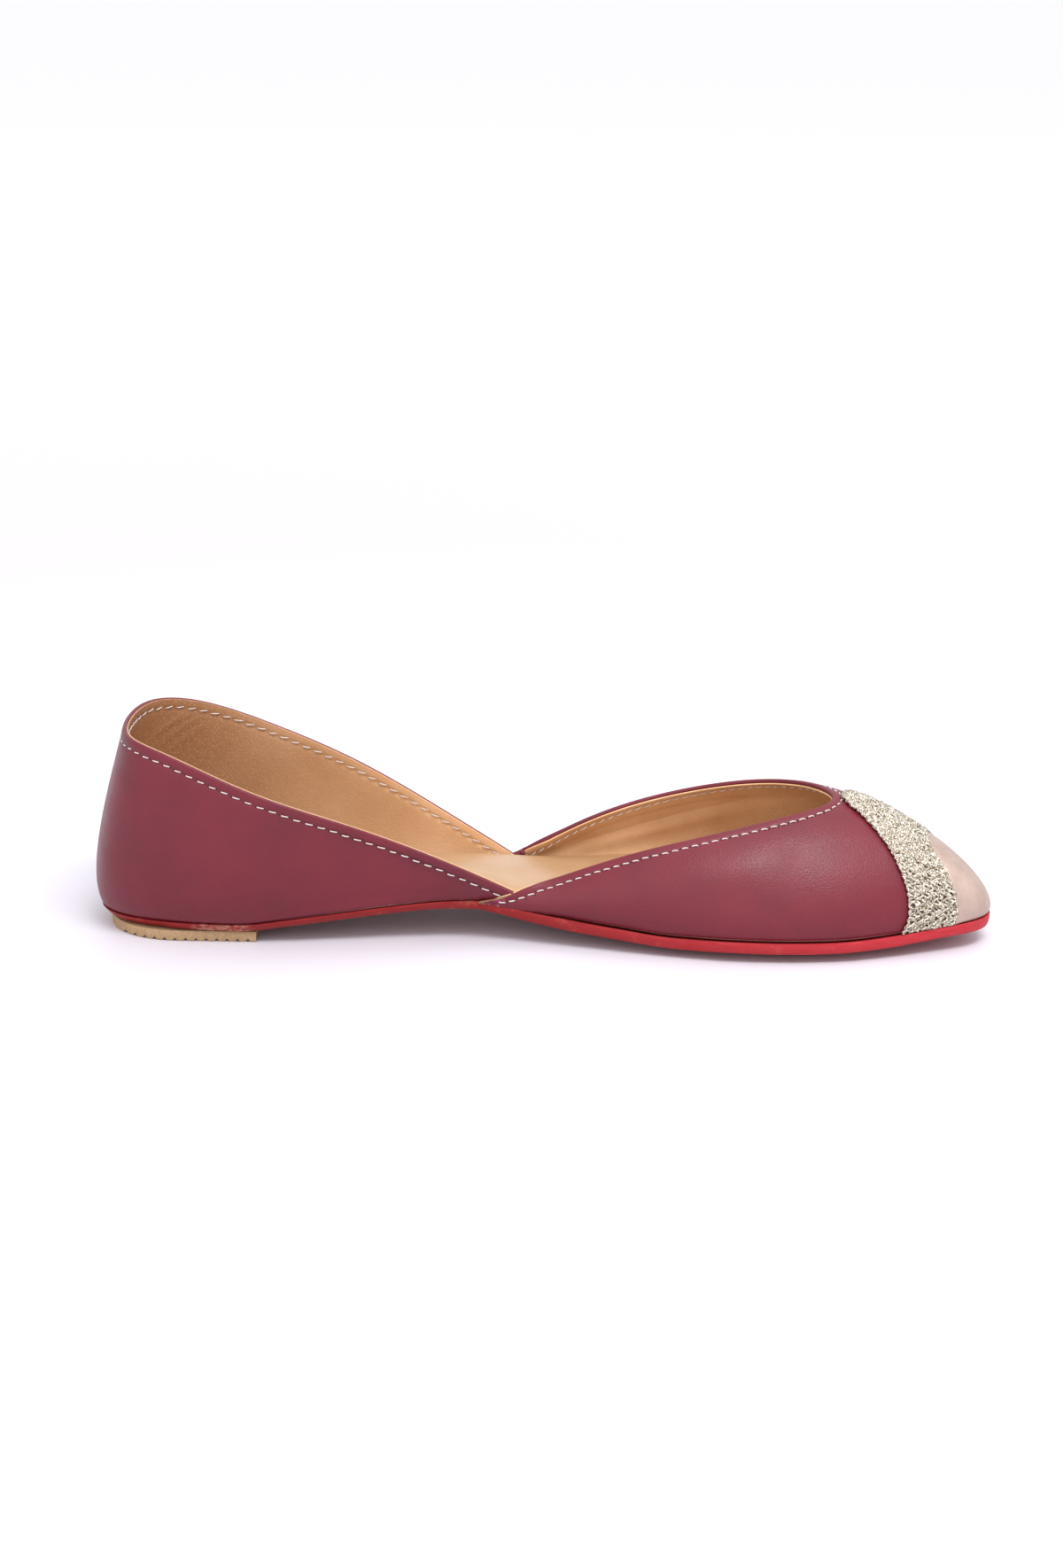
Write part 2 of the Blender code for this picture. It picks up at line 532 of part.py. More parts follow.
def make_toe_cap(upper, collection):
    """The cap fills the toe from the braid's front edge down to the foot line."""
    way = np.linspace(-1, 1, BAND_STEPS + 1) * CAP_REACH
    front = (upper.half - upper.at_foot_x(BRAID_FRONT_FOOT)) * way
    v_top = edge_heights(BRAID_FRONT, np.abs(way)) - CAP_INSET
    share = np.linspace(0, 1, BAND_ACROSS + 1)[None, :]
    t = np.repeat(upper.half + front[:, None], BAND_ACROSS + 1, axis=1)
    v = np.maximum(v_top, 2 * FOOT_HEM)[:, None] * (1 - share) + FOOT_HEM * share
    rings = patch(upper, t, v, GAP, GAP + CAP_THICKNESS)
    size = rings.shape[1]
    faces = ring_faces(len(rings), size, closed=False)
    faces += [tuple(range(size)), tuple(range((len(rings) - 1) * size, len(rings) * size))]
    material = finish("rose_gold_leather", (0.72, 0.5, 0.38), 0.35, 0.5)
    return new_mesh_object("toe_cap", collection, rings.reshape(-1, 3), faces, material)


def centre_on_floor(objects):
    """Moves the meshes so that the middle of the shoe's base is the origin."""
    corners = np.concatenate([[v.co[:] for v in obj.data.vertices] for obj in objects])
    low, high = corners.min(axis=0), corners.max(axis=0)
    move = -np.array([(low[0] + high[0]) / 2, (low[1] + high[1]) / 2, low[2]])
    for obj in objects:
        for vertex in obj.data.vertices:
            vertex.co = np.array(vertex.co) + move
    return move


def main():
    for obj in list(bpy.data.objects):
        bpy.data.objects.remove(obj, do_unlink=True)
    collection = bpy.data.collections.new("mojari_shoe")
    bpy.context.scene.collection.children.link(collection)
    upper = Upper(Sole())
    makers = (make_outsole, make_heel_pad, make_upper, make_insole, make_braid_band, make_toe_cap)
    move = centre_on_floor([make(upper, collection) for make in makers])
    print("moved by", move.round(5))


main()
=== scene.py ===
# %% [markdown]
# ## A left mojari, worked out from its ribs
# The shoe is a closed loop of leather that stands on a flat sole. Every piece below is a numpy function of
# two numbers: how far round the foot line it lies, and how far up the rib from the sole to the topline.
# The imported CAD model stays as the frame, and each finer piece here stands for one of its nodes.

import math
from collections import namedtuple

import bpy
import numpy as np
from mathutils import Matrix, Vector


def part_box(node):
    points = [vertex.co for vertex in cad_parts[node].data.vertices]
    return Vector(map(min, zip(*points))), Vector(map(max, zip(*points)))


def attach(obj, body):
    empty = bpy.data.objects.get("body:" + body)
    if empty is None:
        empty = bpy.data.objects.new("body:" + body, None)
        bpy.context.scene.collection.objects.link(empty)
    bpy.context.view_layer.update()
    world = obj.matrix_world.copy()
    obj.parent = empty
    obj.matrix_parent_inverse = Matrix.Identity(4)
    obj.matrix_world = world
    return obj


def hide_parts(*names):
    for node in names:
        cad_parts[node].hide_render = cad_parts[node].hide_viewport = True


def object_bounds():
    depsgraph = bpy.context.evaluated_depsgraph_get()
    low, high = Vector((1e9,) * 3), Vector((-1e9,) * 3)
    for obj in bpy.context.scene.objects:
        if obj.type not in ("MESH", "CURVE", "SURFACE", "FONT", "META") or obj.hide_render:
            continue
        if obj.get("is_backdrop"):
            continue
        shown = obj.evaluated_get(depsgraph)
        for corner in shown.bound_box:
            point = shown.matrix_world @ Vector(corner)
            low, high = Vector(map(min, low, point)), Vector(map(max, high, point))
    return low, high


MM = 0.001
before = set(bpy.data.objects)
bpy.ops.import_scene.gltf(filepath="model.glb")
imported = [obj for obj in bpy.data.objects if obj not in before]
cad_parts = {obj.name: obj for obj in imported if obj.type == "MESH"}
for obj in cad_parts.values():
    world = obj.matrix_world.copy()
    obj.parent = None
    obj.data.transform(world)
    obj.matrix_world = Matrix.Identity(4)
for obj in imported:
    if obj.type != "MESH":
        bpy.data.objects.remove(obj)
CAD_BOX = [list(corner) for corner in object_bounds()]
print("CAD nodes:", sorted(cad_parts))

# %% [markdown]
# ## The last's sizes
# A shoe takes its shape from a last, and a last is described by a few sizes and by sections. The tables
# hold shares of those sizes, one row for each rib from the back of the heel to the toe, so the visual
# model and the CAD model are the same shape. The heel pad is centred on the last's axis, and its box in
# the imported model therefore tells where that axis lies in the row frame.

# %% Sizes and tables
LENGTH, BALL_WIDTH = 0.2490, 0.0760
HEEL_HEIGHT, INSTEP_HEIGHT = 0.0572, 0.0388
WALL = 0.0018
LAP_STEP, LAP_FADE = 0.0011, 0.022
GAP = 0.0003
SOLE_THICKNESS, SOLE_MARGIN, SOLE_BEVEL = 0.0032, 0.0010, 0.0022
ARCH_RISE, EDGE_CURL, TOE_SPRING = 0.0093, 0.0029, 0.0046
PAD_THICKNESS, PAD_LENGTH, PAD_WIDTH, PAD_SETBACK = 0.0030, 0.0430, 0.0440, 0.0036
TREAD_PITCH, TREAD_DEPTH = 0.0029, 0.0008
INSOLE_THICKNESS, INSOLE_CROWN, INSOLE_CLEARANCE, INSOLE_LIFT = 0.0040, 0.0012, 0.0008, 0.0006
BRAID_THICKNESS, CAP_THICKNESS = 0.0014, 0.0008

Rib = namedtuple(
    "Rib", "place foot_x foot_lateral foot_medial top_x top_lateral top_medial high_lateral high_medial"
)
RIBS = [
    Rib("heel back", 0.003, 0.000, 0.000, 0.035, 0.000, 0.000, 1.000, 1.000),
    Rib("heel corner", 0.022, 0.182, 0.180, 0.047, 0.226, 0.216, 1.007, 0.995),
    Rib("heel side", 0.080, 0.290, 0.282, 0.092, 0.350, 0.342, 0.979, 0.955),
    Rib("quarter", 0.185, 0.330, 0.318, 0.190, 0.398, 0.395, 0.832, 0.785),
    Rib("quarter front", 0.305, 0.338, 0.288, 0.305, 0.364, 0.347, 0.619, 0.595),
    Rib("waist", 0.395, 0.335, 0.250, 0.405, 0.345, 0.288, 0.364, 0.400),
    Rib("lap", 0.446, 0.342, 0.245, 0.470, 0.350, 0.264, 0.266, 0.386),
    Rib("vamp back", 0.515, 0.380, 0.280, 0.520, 0.325, 0.240, 0.488, 0.486),
    Rib("vamp", 0.600, 0.455, 0.345, 0.595, 0.350, 0.270, 0.689, 0.674),
    Rib("ball", 0.700, 0.530, 0.415, 0.685, 0.350, 0.265, 0.842, 0.829),
    Rib("toe side", 0.830, 0.495, 0.410, 0.768, 0.240, 0.205, 0.962, 0.936),
    Rib("toe corner", 0.945, 0.240, 0.285, 0.815, 0.085, 0.125, 1.005, 0.985),
    Rib("toe", 1.000, -0.115, 0.115, 0.828, -0.030, 0.030, 1.000, 1.000),
]
LAP_ROW = 6
Bow = namedtuple("Bow", "place swell rise reach puff drop")
BOWS = [
    Bow("heel back", 0.090, 0.190, 0.30, 0.030, 0.290),
    Bow("heel corner", 0.100, 0.200, 0.30, 0.035, 0.290),
    Bow("heel side", 0.120, 0.230, 0.30, 0.035, 0.300),
    Bow("quarter", 0.130, 0.270, 0.30, 0.025, 0.320),
    Bow("quarter front", 0.150, 0.300, 0.30, 0.015, 0.320),
    Bow("waist", 0.160, 0.320, 0.30, 0.020, 0.320),
    Bow("lap", 0.200, 0.330, 0.32, 0.050, 0.300),
    Bow("vamp back", 0.240, 0.330, 0.34, 0.150, 0.260),
    Bow("vamp", 0.190, 0.330, 0.38, 0.150, 0.230),
    Bow("ball", 0.150, 0.340, 0.42, 0.120, 0.180),
    Bow("toe side", 0.120, 0.330, 0.44, 0.060, 0.130),
    Bow("toe corner", 0.090, 0.290, 0.44, 0.020, 0.085),
    Bow("toe", 0.080, 0.280, 0.44, 0.000, 0.073),
]
Under = namedtuple("Under", "x seat arch curl spring thick margin bevel")
UNDERSIDE = [
    Under(0.000, 1.00, 0.00, 0.00, 0.00, 0.70, 0.0, 1.00),
    Under(0.165, 1.00, 0.00, 0.00, 0.00, 0.70, 0.0, 0.80),
    Under(0.220, 0.94, 0.18, 0.00, 0.00, 0.70, 0.0, 0.70),
    Under(0.280, 0.77, 0.45, 0.00, 0.00, 0.70, 0.0, 0.60),
    Under(0.345, 0.50, 0.74, 0.00, 0.00, 0.70, 0.1, 0.50),
    Under(0.410, 0.30, 0.92, 0.00, 0.00, 0.74, 0.4, 0.40),
    Under(0.430, 0.25, 0.93, 0.00, 0.00, 0.78, 0.5, 0.35),
    Under(0.455, 0.20, 0.80, 0.10, 0.00, 0.85, 0.65, 0.30),
    Under(0.495, 0.10, 0.58, 0.25, 0.00, 0.95, 0.8, 0.25),
    Under(0.535, 0.05, 0.40, 0.45, 0.00, 1.00, 1.0, 0.20),
    Under(0.590, 0.00, 0.17, 0.80, 0.00, 1.00, 1.0, 0.20),
    Under(0.650, 0.00, 0.00, 1.00, 0.00, 1.00, 1.0, 0.20),
    Under(0.825, 0.00, 0.00, 1.00, 0.00, 1.00, 1.0, 0.20),
    Under(0.885, 0.00, 0.00, 0.80, 0.25, 1.00, 1.0, 0.20),
    Under(0.945, 0.00, 0.00, 0.45, 0.70, 1.00, 1.0, 0.20),
    Under(1.000, 0.00, 0.00, 0.00, 1.10, 1.00, 1.0, 0.20),
]
ARCH_MEDIAL, ARCH_MIDDLE, ARCH_LATERAL = 1.00, 0.80, 0.52
FLAT_SHARE = 0.35
pad_low, pad_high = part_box("heel_pad")
MOVE = np.array([pad_low.x - PAD_SETBACK, (pad_low.y + pad_high.y) / 2, 0.0])
print("last's origin in the row frame, mm:", (MOVE / MM).round(2))

# %% [markdown]
# ## Curves through the tables
# Between two ribs the leather bends evenly, as a sheet does over a last, and a natural cubic spline does
# just that. The sole's heights use a cubic that never swings past its rows, because a level stretch has to
# stay level on the floor.


# %% Splines
def natural_spline(knots, rows, at):
    """Values at the places `at` of a cubic spline through `rows`, straight beyond its two ends."""
    knots, rows, at = np.asarray(knots, float), np.asarray(rows, float), np.asarray(at, float)
    step = np.diff(knots)
    slope = np.diff(rows, axis=0) / step[:, None]
    count = len(knots)
    system = np.eye(count)
    right = np.zeros_like(rows)
    for i in range(1, count - 1):
        system[i, i - 1 : i + 2] = step[i - 1], 2.0 * (step[i - 1] + step[i]), step[i]
        right[i] = 6.0 * (slope[i] - slope[i - 1])
    bend = np.linalg.solve(system, right)
    cell = np.clip(np.searchsorted(knots, at, side="right") - 1, 0, count - 2)
    h = step[cell][:, None]
    a = (knots[cell + 1] - at)[:, None] / h
    b = 1.0 - a
    smooth = ((a**3 - a) * bend[cell] + (b**3 - b) * bend[cell + 1]) * h**2 / 6.0
    return a * rows[cell] + b * rows[cell + 1] + smooth


def loop_spline(knots, period, rows, at):
    """The same for a closed loop, by carrying the rows round past both ends."""
    knots, rows = np.asarray(knots, float), np.asarray(rows, float)
    wide_knots = np.concatenate([knots - period, knots, knots + period])
    return natural_spline(wide_knots, np.concatenate([rows] * 3), np.mod(np.asarray(at, float), period))


def level_spline(knots, rows, at):
    """A cubic through `rows` that never swings past them, so level stretches stay level."""
    knots, rows = np.asarray(knots, float), np.asarray(rows, float)
    at = np.clip(np.asarray(at, float), knots[0], knots[-1])
    step = np.diff(knots)[:, None]
    slope = np.diff(rows, axis=0) / step
    inner = (slope[:-1] * step[1:] + slope[1:] * step[:-1]) / (step[:-1] + step[1:])
    limit = np.minimum(np.minimum(np.abs(slope[:-1]), np.abs(slope[1:])), 0.5 * np.abs(inner))
    inner = (np.sign(slope[:-1]) + np.sign(slope[1:])) * limit
    tangent = np.concatenate([slope[:1], inner, slope[-1:]])
    cell = np.clip(np.searchsorted(knots, at, side="right") - 1, 0, len(knots) - 2)
    h = step[cell]
    s = (at - knots[cell])[:, None] / h
    return (
        rows[cell] * (2 * s**3 - 3 * s**2 + 1)
        + tangent[cell] * h * (s**3 - 2 * s**2 + s)
        + rows[cell + 1] * (3 * s**2 - 2 * s**3)
        + tangent[cell + 1] * h * (s**3 - s**2)
    )


# %% [markdown]
# ## The sole's heights and the upper's sheet
# The sole is a height over the floor at each place along and across the shoe. The upper is a Bezier curve
# for each place t round the foot line: it leaves the sole outwards, as leather does where it is pulled
# over the last's edge, and leans back in at the topline.


# %% Surface functions
def unit(vectors):
    """The same directions with length 1."""
    return vectors / np.linalg.norm(vectors, axis=-1, keepdims=True)


def sole_shares(x):
    """The rows of the table UNDERSIDE, read at any distance x from the heel."""
    knots = np.array([row.x for row in UNDERSIDE]) * LENGTH
    rows = np.array([row[1:] for row in UNDERSIDE])
    return level_spline(knots, rows, np.ravel(x)).reshape(np.shape(x) + (7,))


def sole_under(x, side):
    """Height of the sole's underside: heel seat, arch, curled edges and toe spring, added up."""
    share = sole_shares(x)
    medial, lateral = np.clip(-side, 0, 1), np.clip(side, 0, 1)
    arch = ARCH_MIDDLE + (ARCH_MEDIAL - ARCH_MIDDLE) * medial + (ARCH_LATERAL - ARCH_MIDDLE) * lateral
    curl = (np.clip(np.abs(side) - FLAT_SHARE, 0, 1) / (1.0 - FLAT_SHARE)) ** 2
    height = share[..., 0] * (PAD_THICKNESS + GAP) + share[..., 1] * arch * ARCH_RISE
    return height + share[..., 2] * curl * EDGE_CURL + share[..., 3] * TOE_SPRING


def sole_top(x, side):
    """The underside's height and the sole's thickness there."""
    return sole_under(x, side) + sole_shares(x)[..., 4] * SOLE_THICKNESS


lateral_rows = np.array([[r.foot_x * LENGTH, r.foot_lateral * BALL_WIDTH] for r in RIBS])
medial_rows = np.array([[r.foot_x * LENGTH, -r.foot_medial * BALL_WIDTH] for r in RIBS])
chords = [np.linalg.norm(np.diff(rows, axis=0), axis=1) for rows in (lateral_rows, medial_rows)]
KNOTS = np.concatenate([[0.0], np.cumsum((chords[0] + chords[1]) / 2)])
HALF, LAP = KNOTS[-1], KNOTS[LAP_ROW]
LOOP_KNOTS = np.concatenate([KNOTS, 2 * HALF - KNOTS[-2:0:-1]])
FOOT_ROWS = np.concatenate([lateral_rows, medial_rows[-2:0:-1]])
bows = np.array([row[1:] for row in BOWS])
BOW_ROWS = np.concatenate([bows, bows[-2:0:-1]])
tall = [HEEL_HEIGHT if i < LAP_ROW else INSTEP_HEIGHT for i in range(len(RIBS))]
TOP_LATERAL = np.array(
    [[r.top_x * LENGTH, r.top_lateral * BALL_WIDTH, r.high_lateral * h] for r, h in zip(RIBS, tall)]
)
TOP_MEDIAL = np.array(
    [[r.top_x * LENGTH, -r.top_medial * BALL_WIDTH, r.high_medial * h] for r, h in zip(RIBS, tall)]
)


def foot_plan(t):
    """The foot line in plan: a closed spline through the ribs' feet."""
    return loop_spline(LOOP_KNOTS, 2 * HALF, FOOT_ROWS, t)


def outward(t, step=1e-4):
    """The level direction square to the foot line, away from the foot."""
    along = unit(foot_plan(t + step) - foot_plan(t - step))
    return np.stack([-along[:, 1], along[:, 0]], axis=1)


def foot_line(t):
    """The foot line in space: it lies on the sole's top, lateral side first and then medial."""
    plan = foot_plan(t)
    side = np.where(np.mod(t, 2 * HALF) <= HALF, 1.0, -1.0)
    return np.column_stack([plan, sole_top(plan[:, 0], side) + GAP])


def topline(t, vamp):
    """The opening's edge: one spline for the quarter and one for the vamp, which cross at the lap."""
    t = np.mod(t, 2 * HALF)
    if vamp:
        knots = np.concatenate([KNOTS[LAP_ROW:], 2 * HALF - KNOTS[-2 : LAP_ROW - 1 : -1]])
        rows = np.concatenate([TOP_LATERAL[LAP_ROW:], TOP_MEDIAL[-2 : LAP_ROW - 1 : -1]])
        return natural_spline(knots, rows, t)
    t = np.where(t > HALF, t - 2 * HALF, t)
    knots = np.concatenate([-KNOTS[LAP_ROW:0:-1], KNOTS[: LAP_ROW + 1]])
    rows = np.concatenate([TOP_MEDIAL[LAP_ROW:0:-1], TOP_LATERAL[: LAP_ROW + 1]])
    return natural_spline(knots, rows, t)


def sheet(t, v, vamp):
    """The upper's outer face at t round the foot line and v up the rib: a cubic Bezier for each rib."""
    t, v = np.broadcast_arrays(np.asarray(t, float), np.asarray(v, float))
    flat = t.ravel()
    foot, top = foot_line(flat), topline(flat, vamp)
    swell, rise, reach, puff, drop = loop_spline(LOOP_KNOTS, 2 * HALF, BOW_ROWS, flat).T
    out = np.column_stack([outward(flat), np.zeros(len(flat))])
    height = top[:, 2] - foot[:, 2]
    up = np.array([0.0, 0.0, 1.0])
    back = (foot - top) * np.array([1.0, 1.0, 0.0])
    low = foot + out * (swell * height)[:, None] + up * (rise * height)[:, None]
    high = top + back * reach[:, None] + out * (puff * height)[:, None] - up * (drop * height)[:, None]
    s = v.ravel()[:, None]
    points = foot * (1 - s) ** 3 + low * 3 * s * (1 - s) ** 2 + high * 3 * s**2 * (1 - s) + top * s**3
    return points.reshape(t.shape + (3,)) + MOVE


def sheet_frame(t, v, vamp):
    """Points of the sheet with their outward normals and their directions up the rib."""
    dt, dv = 2e-4, 2e-3
    along = sheet(t + dt, v, vamp) - sheet(t - dt, v, vamp)
    up = sheet(t, np.minimum(v + dv, 1), vamp) - sheet(t, np.maximum(v - dv, 0), vamp)
    return sheet(t, v, vamp), unit(np.cross(up, along)), unit(up)


def past_lap(t):
    """Distance along the foot line from the lap towards the toe, negative on the quarter."""
    return np.minimum(np.mod(t, 2 * HALF), 2 * HALF - np.mod(t, 2 * HALF)) - LAP


def bell(distance, width):
    """1 at distance 0, falling to nothing within twice the width."""
    return np.exp(-((distance / width) ** 2))


def fade(distance, length):
    """1 at the start, falling smoothly to 0 after `length`."""
    return 0.5 * (1 + np.cos(np.pi * np.clip(distance / length, 0, 1)))


print("foot line, mm:", round(2 * HALF / MM, 1), "lap at", round(LAP / MM, 1))

# %% [markdown]
# ## From a grid of points to a mesh
# Each piece is a grid of points, closed along one or both of its directions. The mesh gets a UV map in
# metres of real material, so that patterns keep their true size, and an attribute named cut, which is 1
# where a raw cut edge of the leather shows.


# %% Mesh helpers
def grid_quads(rows, columns, close_rows=False, close_columns=False):
    """Corner numbers of the quads of a grid, counted row by row."""
    i = np.arange(rows if close_rows else rows - 1)[:, None]
    k = np.arange(columns if close_columns else columns - 1)[None, :]
    j, m = (i + 1) % rows, (k + 1) % columns
    corners = [i * columns + k, i * columns + m, j * columns + m, j * columns + k]
    return np.stack(corners, axis=-1).reshape(-1, 4)


def repeat_quads(one, count):
    """The quads of `count` equal grids whose points follow each other."""
    return (one[None] + (np.arange(count) * (one.max() + 1))[:, None, None]).reshape(-1, 4)


def new_object(name, data):
    """An object with this data, linked to the scene at the origin."""
    thing = bpy.data.objects.new(name, data)
    bpy.context.scene.collection.objects.link(thing)
    return thing


def make_piece(name, points, quads, material, stands_for=(), uv=None, cut=None, sharp=50):
    """A finished piece on the frame: mesh, smooth shading, UV map, cut attribute, material and slot."""
    mesh = bpy.data.meshes.new(name)
    mesh.from_pydata(points.reshape(-1, 3).tolist(), [], quads.tolist())
    mesh.shade_smooth()
    if sharp:
        mesh.set_sharp_from_angle(angle=math.radians(sharp))
    if uv is not None:
        layer = mesh.uv_layers.new(name="real_size")
        layer.data.foreach_set("uv", uv.reshape(-1, 2)[quads].astype(np.float32).ravel())
    if cut is not None:
        mesh.attributes.new("cut", "FLOAT", "FACE").data.foreach_set("value", cut.astype(np.float32))
    mesh.materials.append(material)
    piece = new_object(name, mesh)
    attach(piece, "root")
    if stands_for:
        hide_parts(*stands_for)
    print(name, "quads:", len(quads))
    return piece


def ring_piece(name, grid, material, stands_for=()):
    """A piece whose rows are rings, such as a section all round, or a sheet's front and back."""
    quads = grid_quads(*grid.shape[:2], close_columns=True)
    return make_piece(name, grid, quads, material, stands_for)


def rim_tangent(t, vamp, step=1e-4):
    """Direction of the topline at each t."""
    return unit(topline(t + step, vamp) - topline(t - step, vamp))


def below_rim(points, t, vamp):
    """Distance square to the topline, from the rim down to each point of a grid whose rows are ribs."""
    top = (topline(t, vamp) + MOVE)[:, None]
    return np.linalg.norm(np.cross(points - top, rim_tangent(t, vamp)[:, None]), axis=-1)


def lengths(points, axis):
    """Distance travelled along one axis of a grid of points."""
    steps = np.linalg.norm(np.diff(points, axis=axis), axis=-1)
    total = np.cumsum(steps, axis=axis)
    return np.concatenate([np.zeros_like(np.take(total, [0], axis=axis)), total], axis=axis)


# %% [markdown]
# ## Colours and shader nodes
# A colour is written as it is seen on a screen, in sRGB, and turned to the linear value that a shader
# needs. One helper adds any node, sets its values and makes its links, so each material reads as a list.


# %% Shader helpers
def srgb(code):
    """Linear colour of an sRGB hex code such as '#86404F'."""
    parts = [int(code[i : i + 2], 16) / 255 for i in (1, 3, 5)]
    return tuple(c / 12.92 if c <= 0.04045 else ((c + 0.055) / 1.055) ** 2.4 for c in parts) + (1.0,)


def add(tree, kind, inputs=None, **settings):
    """Adds a shader node with its settings; an input is a value or an output socket to link from."""
    node = tree.nodes.new("ShaderNode" + kind)
    for key, value in settings.items():
        setattr(node, key, value)
    for key, value in (inputs or {}).items():
        if isinstance(value, bpy.types.NodeSocket):
            tree.links.new(value, node.inputs[key])
        else:
            node.inputs[key].default_value = value
    return node


def start_material(name, **values):
    """A new material with its Principled BSDF set, and the object coordinates that patterns read."""
    material = bpy.data.materials.new(name)
    material.use_nodes = True
    tree = material.node_tree
    shader = tree.nodes["Principled BSDF"]
    for key, value in values.items():
        shader.inputs[key.replace("_", " ")].default_value = value
    place = add(tree, "TexCoord").outputs["Object"]
    return material, tree, shader, place


def dress(tree, shader, colour, normal):
    """Links a colour and a bump to a shader."""
    tree.links.new(colour, shader.inputs["Base Color"])
    tree.links.new(normal, shader.inputs["Normal"])


def mix(tree, factor, a, b):
    """The colour a where factor is 0 and b where it is 1."""
    inputs = {"Factor": factor, 6: a, 7: b}
    return add(tree, "Mix", inputs, data_type="RGBA").outputs[2]


def spread(tree, value, low, high, start=0.0, end=1.0):
    """Value, stretched so that low becomes start and high becomes end, and held there beyond."""
    inputs = {"Value": value, "From Min": low, "From Max": high, "To Min": start, "To Max": end}
    return add(tree, "MapRange", inputs).outputs["Result"]


def times(tree, a, b):
    """The product of two values."""
    return add(tree, "Math", {0: a, 1: b}, operation="MULTIPLY").outputs["Value"]


def part_of(tree, vector, axis):
    """One of the three numbers of a vector."""
    return add(tree, "SeparateXYZ", {"Vector": vector}).outputs[axis]


def noise(tree, place, size_mm, detail=4.0, rough=0.55):
    """Even noise whose lumps are about size_mm across."""
    inputs = {"Vector": place, "Scale": 1.0 / (size_mm * MM), "Detail": detail, "Roughness": rough}
    return add(tree, "TexNoise", inputs).outputs["Fac"]


def bump(tree, height, depth_mm, strength=1.0, under=None):
    """A bump whose full swing is depth_mm, on top of another bump where one is given."""
    inputs = {"Height": height, "Distance": depth_mm * MM, "Strength": strength}
    if under is not None:
        inputs["Normal"] = under
    return add(tree, "Bump", inputs).outputs["Normal"]


def patch_mask(tree, place, centre, radius_mm, break_mm):
    """1 at a point of the piece, falling to 0 at radius_mm, and broken up by noise."""
    away = add(tree, "VectorMath", {0: place, 1: tuple(centre)}, operation="DISTANCE").outputs["Value"]
    near = spread(tree, away, radius_mm * MM * 0.35, radius_mm * MM, 1.0, 0.0)
    return times(tree, near, spread(tree, noise(tree, place, break_mm, 5.0, 0.7), 0.42, 0.62))


# %% [markdown]
# ## Maroon upper leather
# The upper is chrome tanned calf, dyed through and finished with a thin wax. Calf has fine pores that
# only show where light grazes it, tiny differences of tone from the dye, and a soft wide highlight. The
# colour wanders between two close tones over centimetres, and the pores are a bump 0.4 mm apart. The same
# recipe makes the tan lining and the insole's cover, with larger pores and other tones.

# %% Maroon leather
CUT_CREAM = srgb("#C9A57E")


def ragged_foot(tree, place):
    """1 on torn fibres along the foot of the sheet, but not round the heel, where it is tucked in."""
    up = part_of(tree, add(tree, "UVMap", uv_map="real_size").outputs["UV"], "Y")
    torn = spread(tree, noise(tree, place, 0.9, 6.0, 0.75), 0.54, 0.68, 0.9 * MM, 1.7 * MM)
    torn = times(tree, torn, spread(tree, part_of(tree, place, "X"), -0.075, -0.045))
    return add(tree, "Math", {0: up, 1: torn}, operation="LESS_THAN").outputs["Value"]


def leather_material(
    name, tone, darker, cut_tone, roughness, grain_mm, grain_depth,
    clouds=0.5, gloss=0.30, heel=None, specks=0.16, fibre=None, marks=(),
):
    """Smooth dyed leather: two tones in soft clouds, dark pores that are also a bump, and a gloss that
    changes with smears of wax. Where asked for, it darkens towards the heel as painted shade, shows pale
    fibre at its foot and marks at given places. Raw cut faces have a tone of their own."""
    material, tree, shader, place = start_material(name, Roughness=roughness, Specular_IOR_Level=gloss)
    cloud = spread(tree, noise(tree, place, 16.0, 5.0), 0.35, 0.65, 0.0, clouds)
    colour = mix(tree, cloud, srgb(tone), srgb(darker))
    # painted shade: the leather is darkened towards the heel, where the high near wall shades the inside
    if heel:
        heel_shade = spread(tree, part_of(tree, place, "X"), -0.005, -0.105, 0.0, 0.9)
        colour = mix(tree, heel_shade, colour, srgb(heel))
    pores = add(tree, "TexVoronoi", {"Vector": place, "Scale": 1.0 / (grain_mm * MM)}).outputs["Distance"]
    speck = spread(tree, pores, 0.0, 0.35, specks, 0.0)
    colour = mix(tree, speck, colour, srgb(darker))
    if fibre:
        colour = mix(tree, ragged_foot(tree, place), colour, srgb(fibre))
    for centre, radius, mark_tone in marks:
        colour = mix(tree, patch_mask(tree, place, centre, radius, 0.5), colour, srgb(mark_tone))
    cut = add(tree, "Attribute", attribute_name="cut").outputs["Fac"]
    colour = mix(tree, cut, colour, cut_tone)
    smear = spread(tree, noise(tree, place, 9.0, 3.0), 0.3, 0.7, roughness - 0.05, roughness + 0.07)
    tree.links.new(smear, shader.inputs["Roughness"])
    swells = noise(tree, place, 3.5, 3.0)
    dress(tree, shader, colour, bump(tree, swells, 0.06, under=bump(tree, pores, grain_depth)))
    return material


pen_mark = (sheet(2 * HALF - LAP - 1.6 * MM, 0.38, True) - np.array([0, 2.0 * MM, 0]), 2.1, "#C0287A")
maroon = leather_material(
    "maroon_calf_waxed", "#6A1D2A", "#571A25", srgb("#7E5C40"), 0.38, 0.42, 0.055,
    gloss=0.32, fibre="#A5827A", marks=[pen_mark],
)
# the lining's heel tone is painted shade, darker inside the heel where the near wall shades it
tan = leather_material(
    "tan_lining_leather", "#DEB288", "#C69666", CUT_CREAM, 0.58, 0.62, 0.05,
    clouds=0.6, gloss=0.5, heel="#7E4E2C", specks=0.9,
)
pad_leather = leather_material(
    "tan_insole_leather", "#B08C68", "#9E7852", CUT_CREAM, 0.34, 0.6, 0.015, gloss=0.6
)
print("leathers:", maroon.name, tan.name, pad_leather.name)
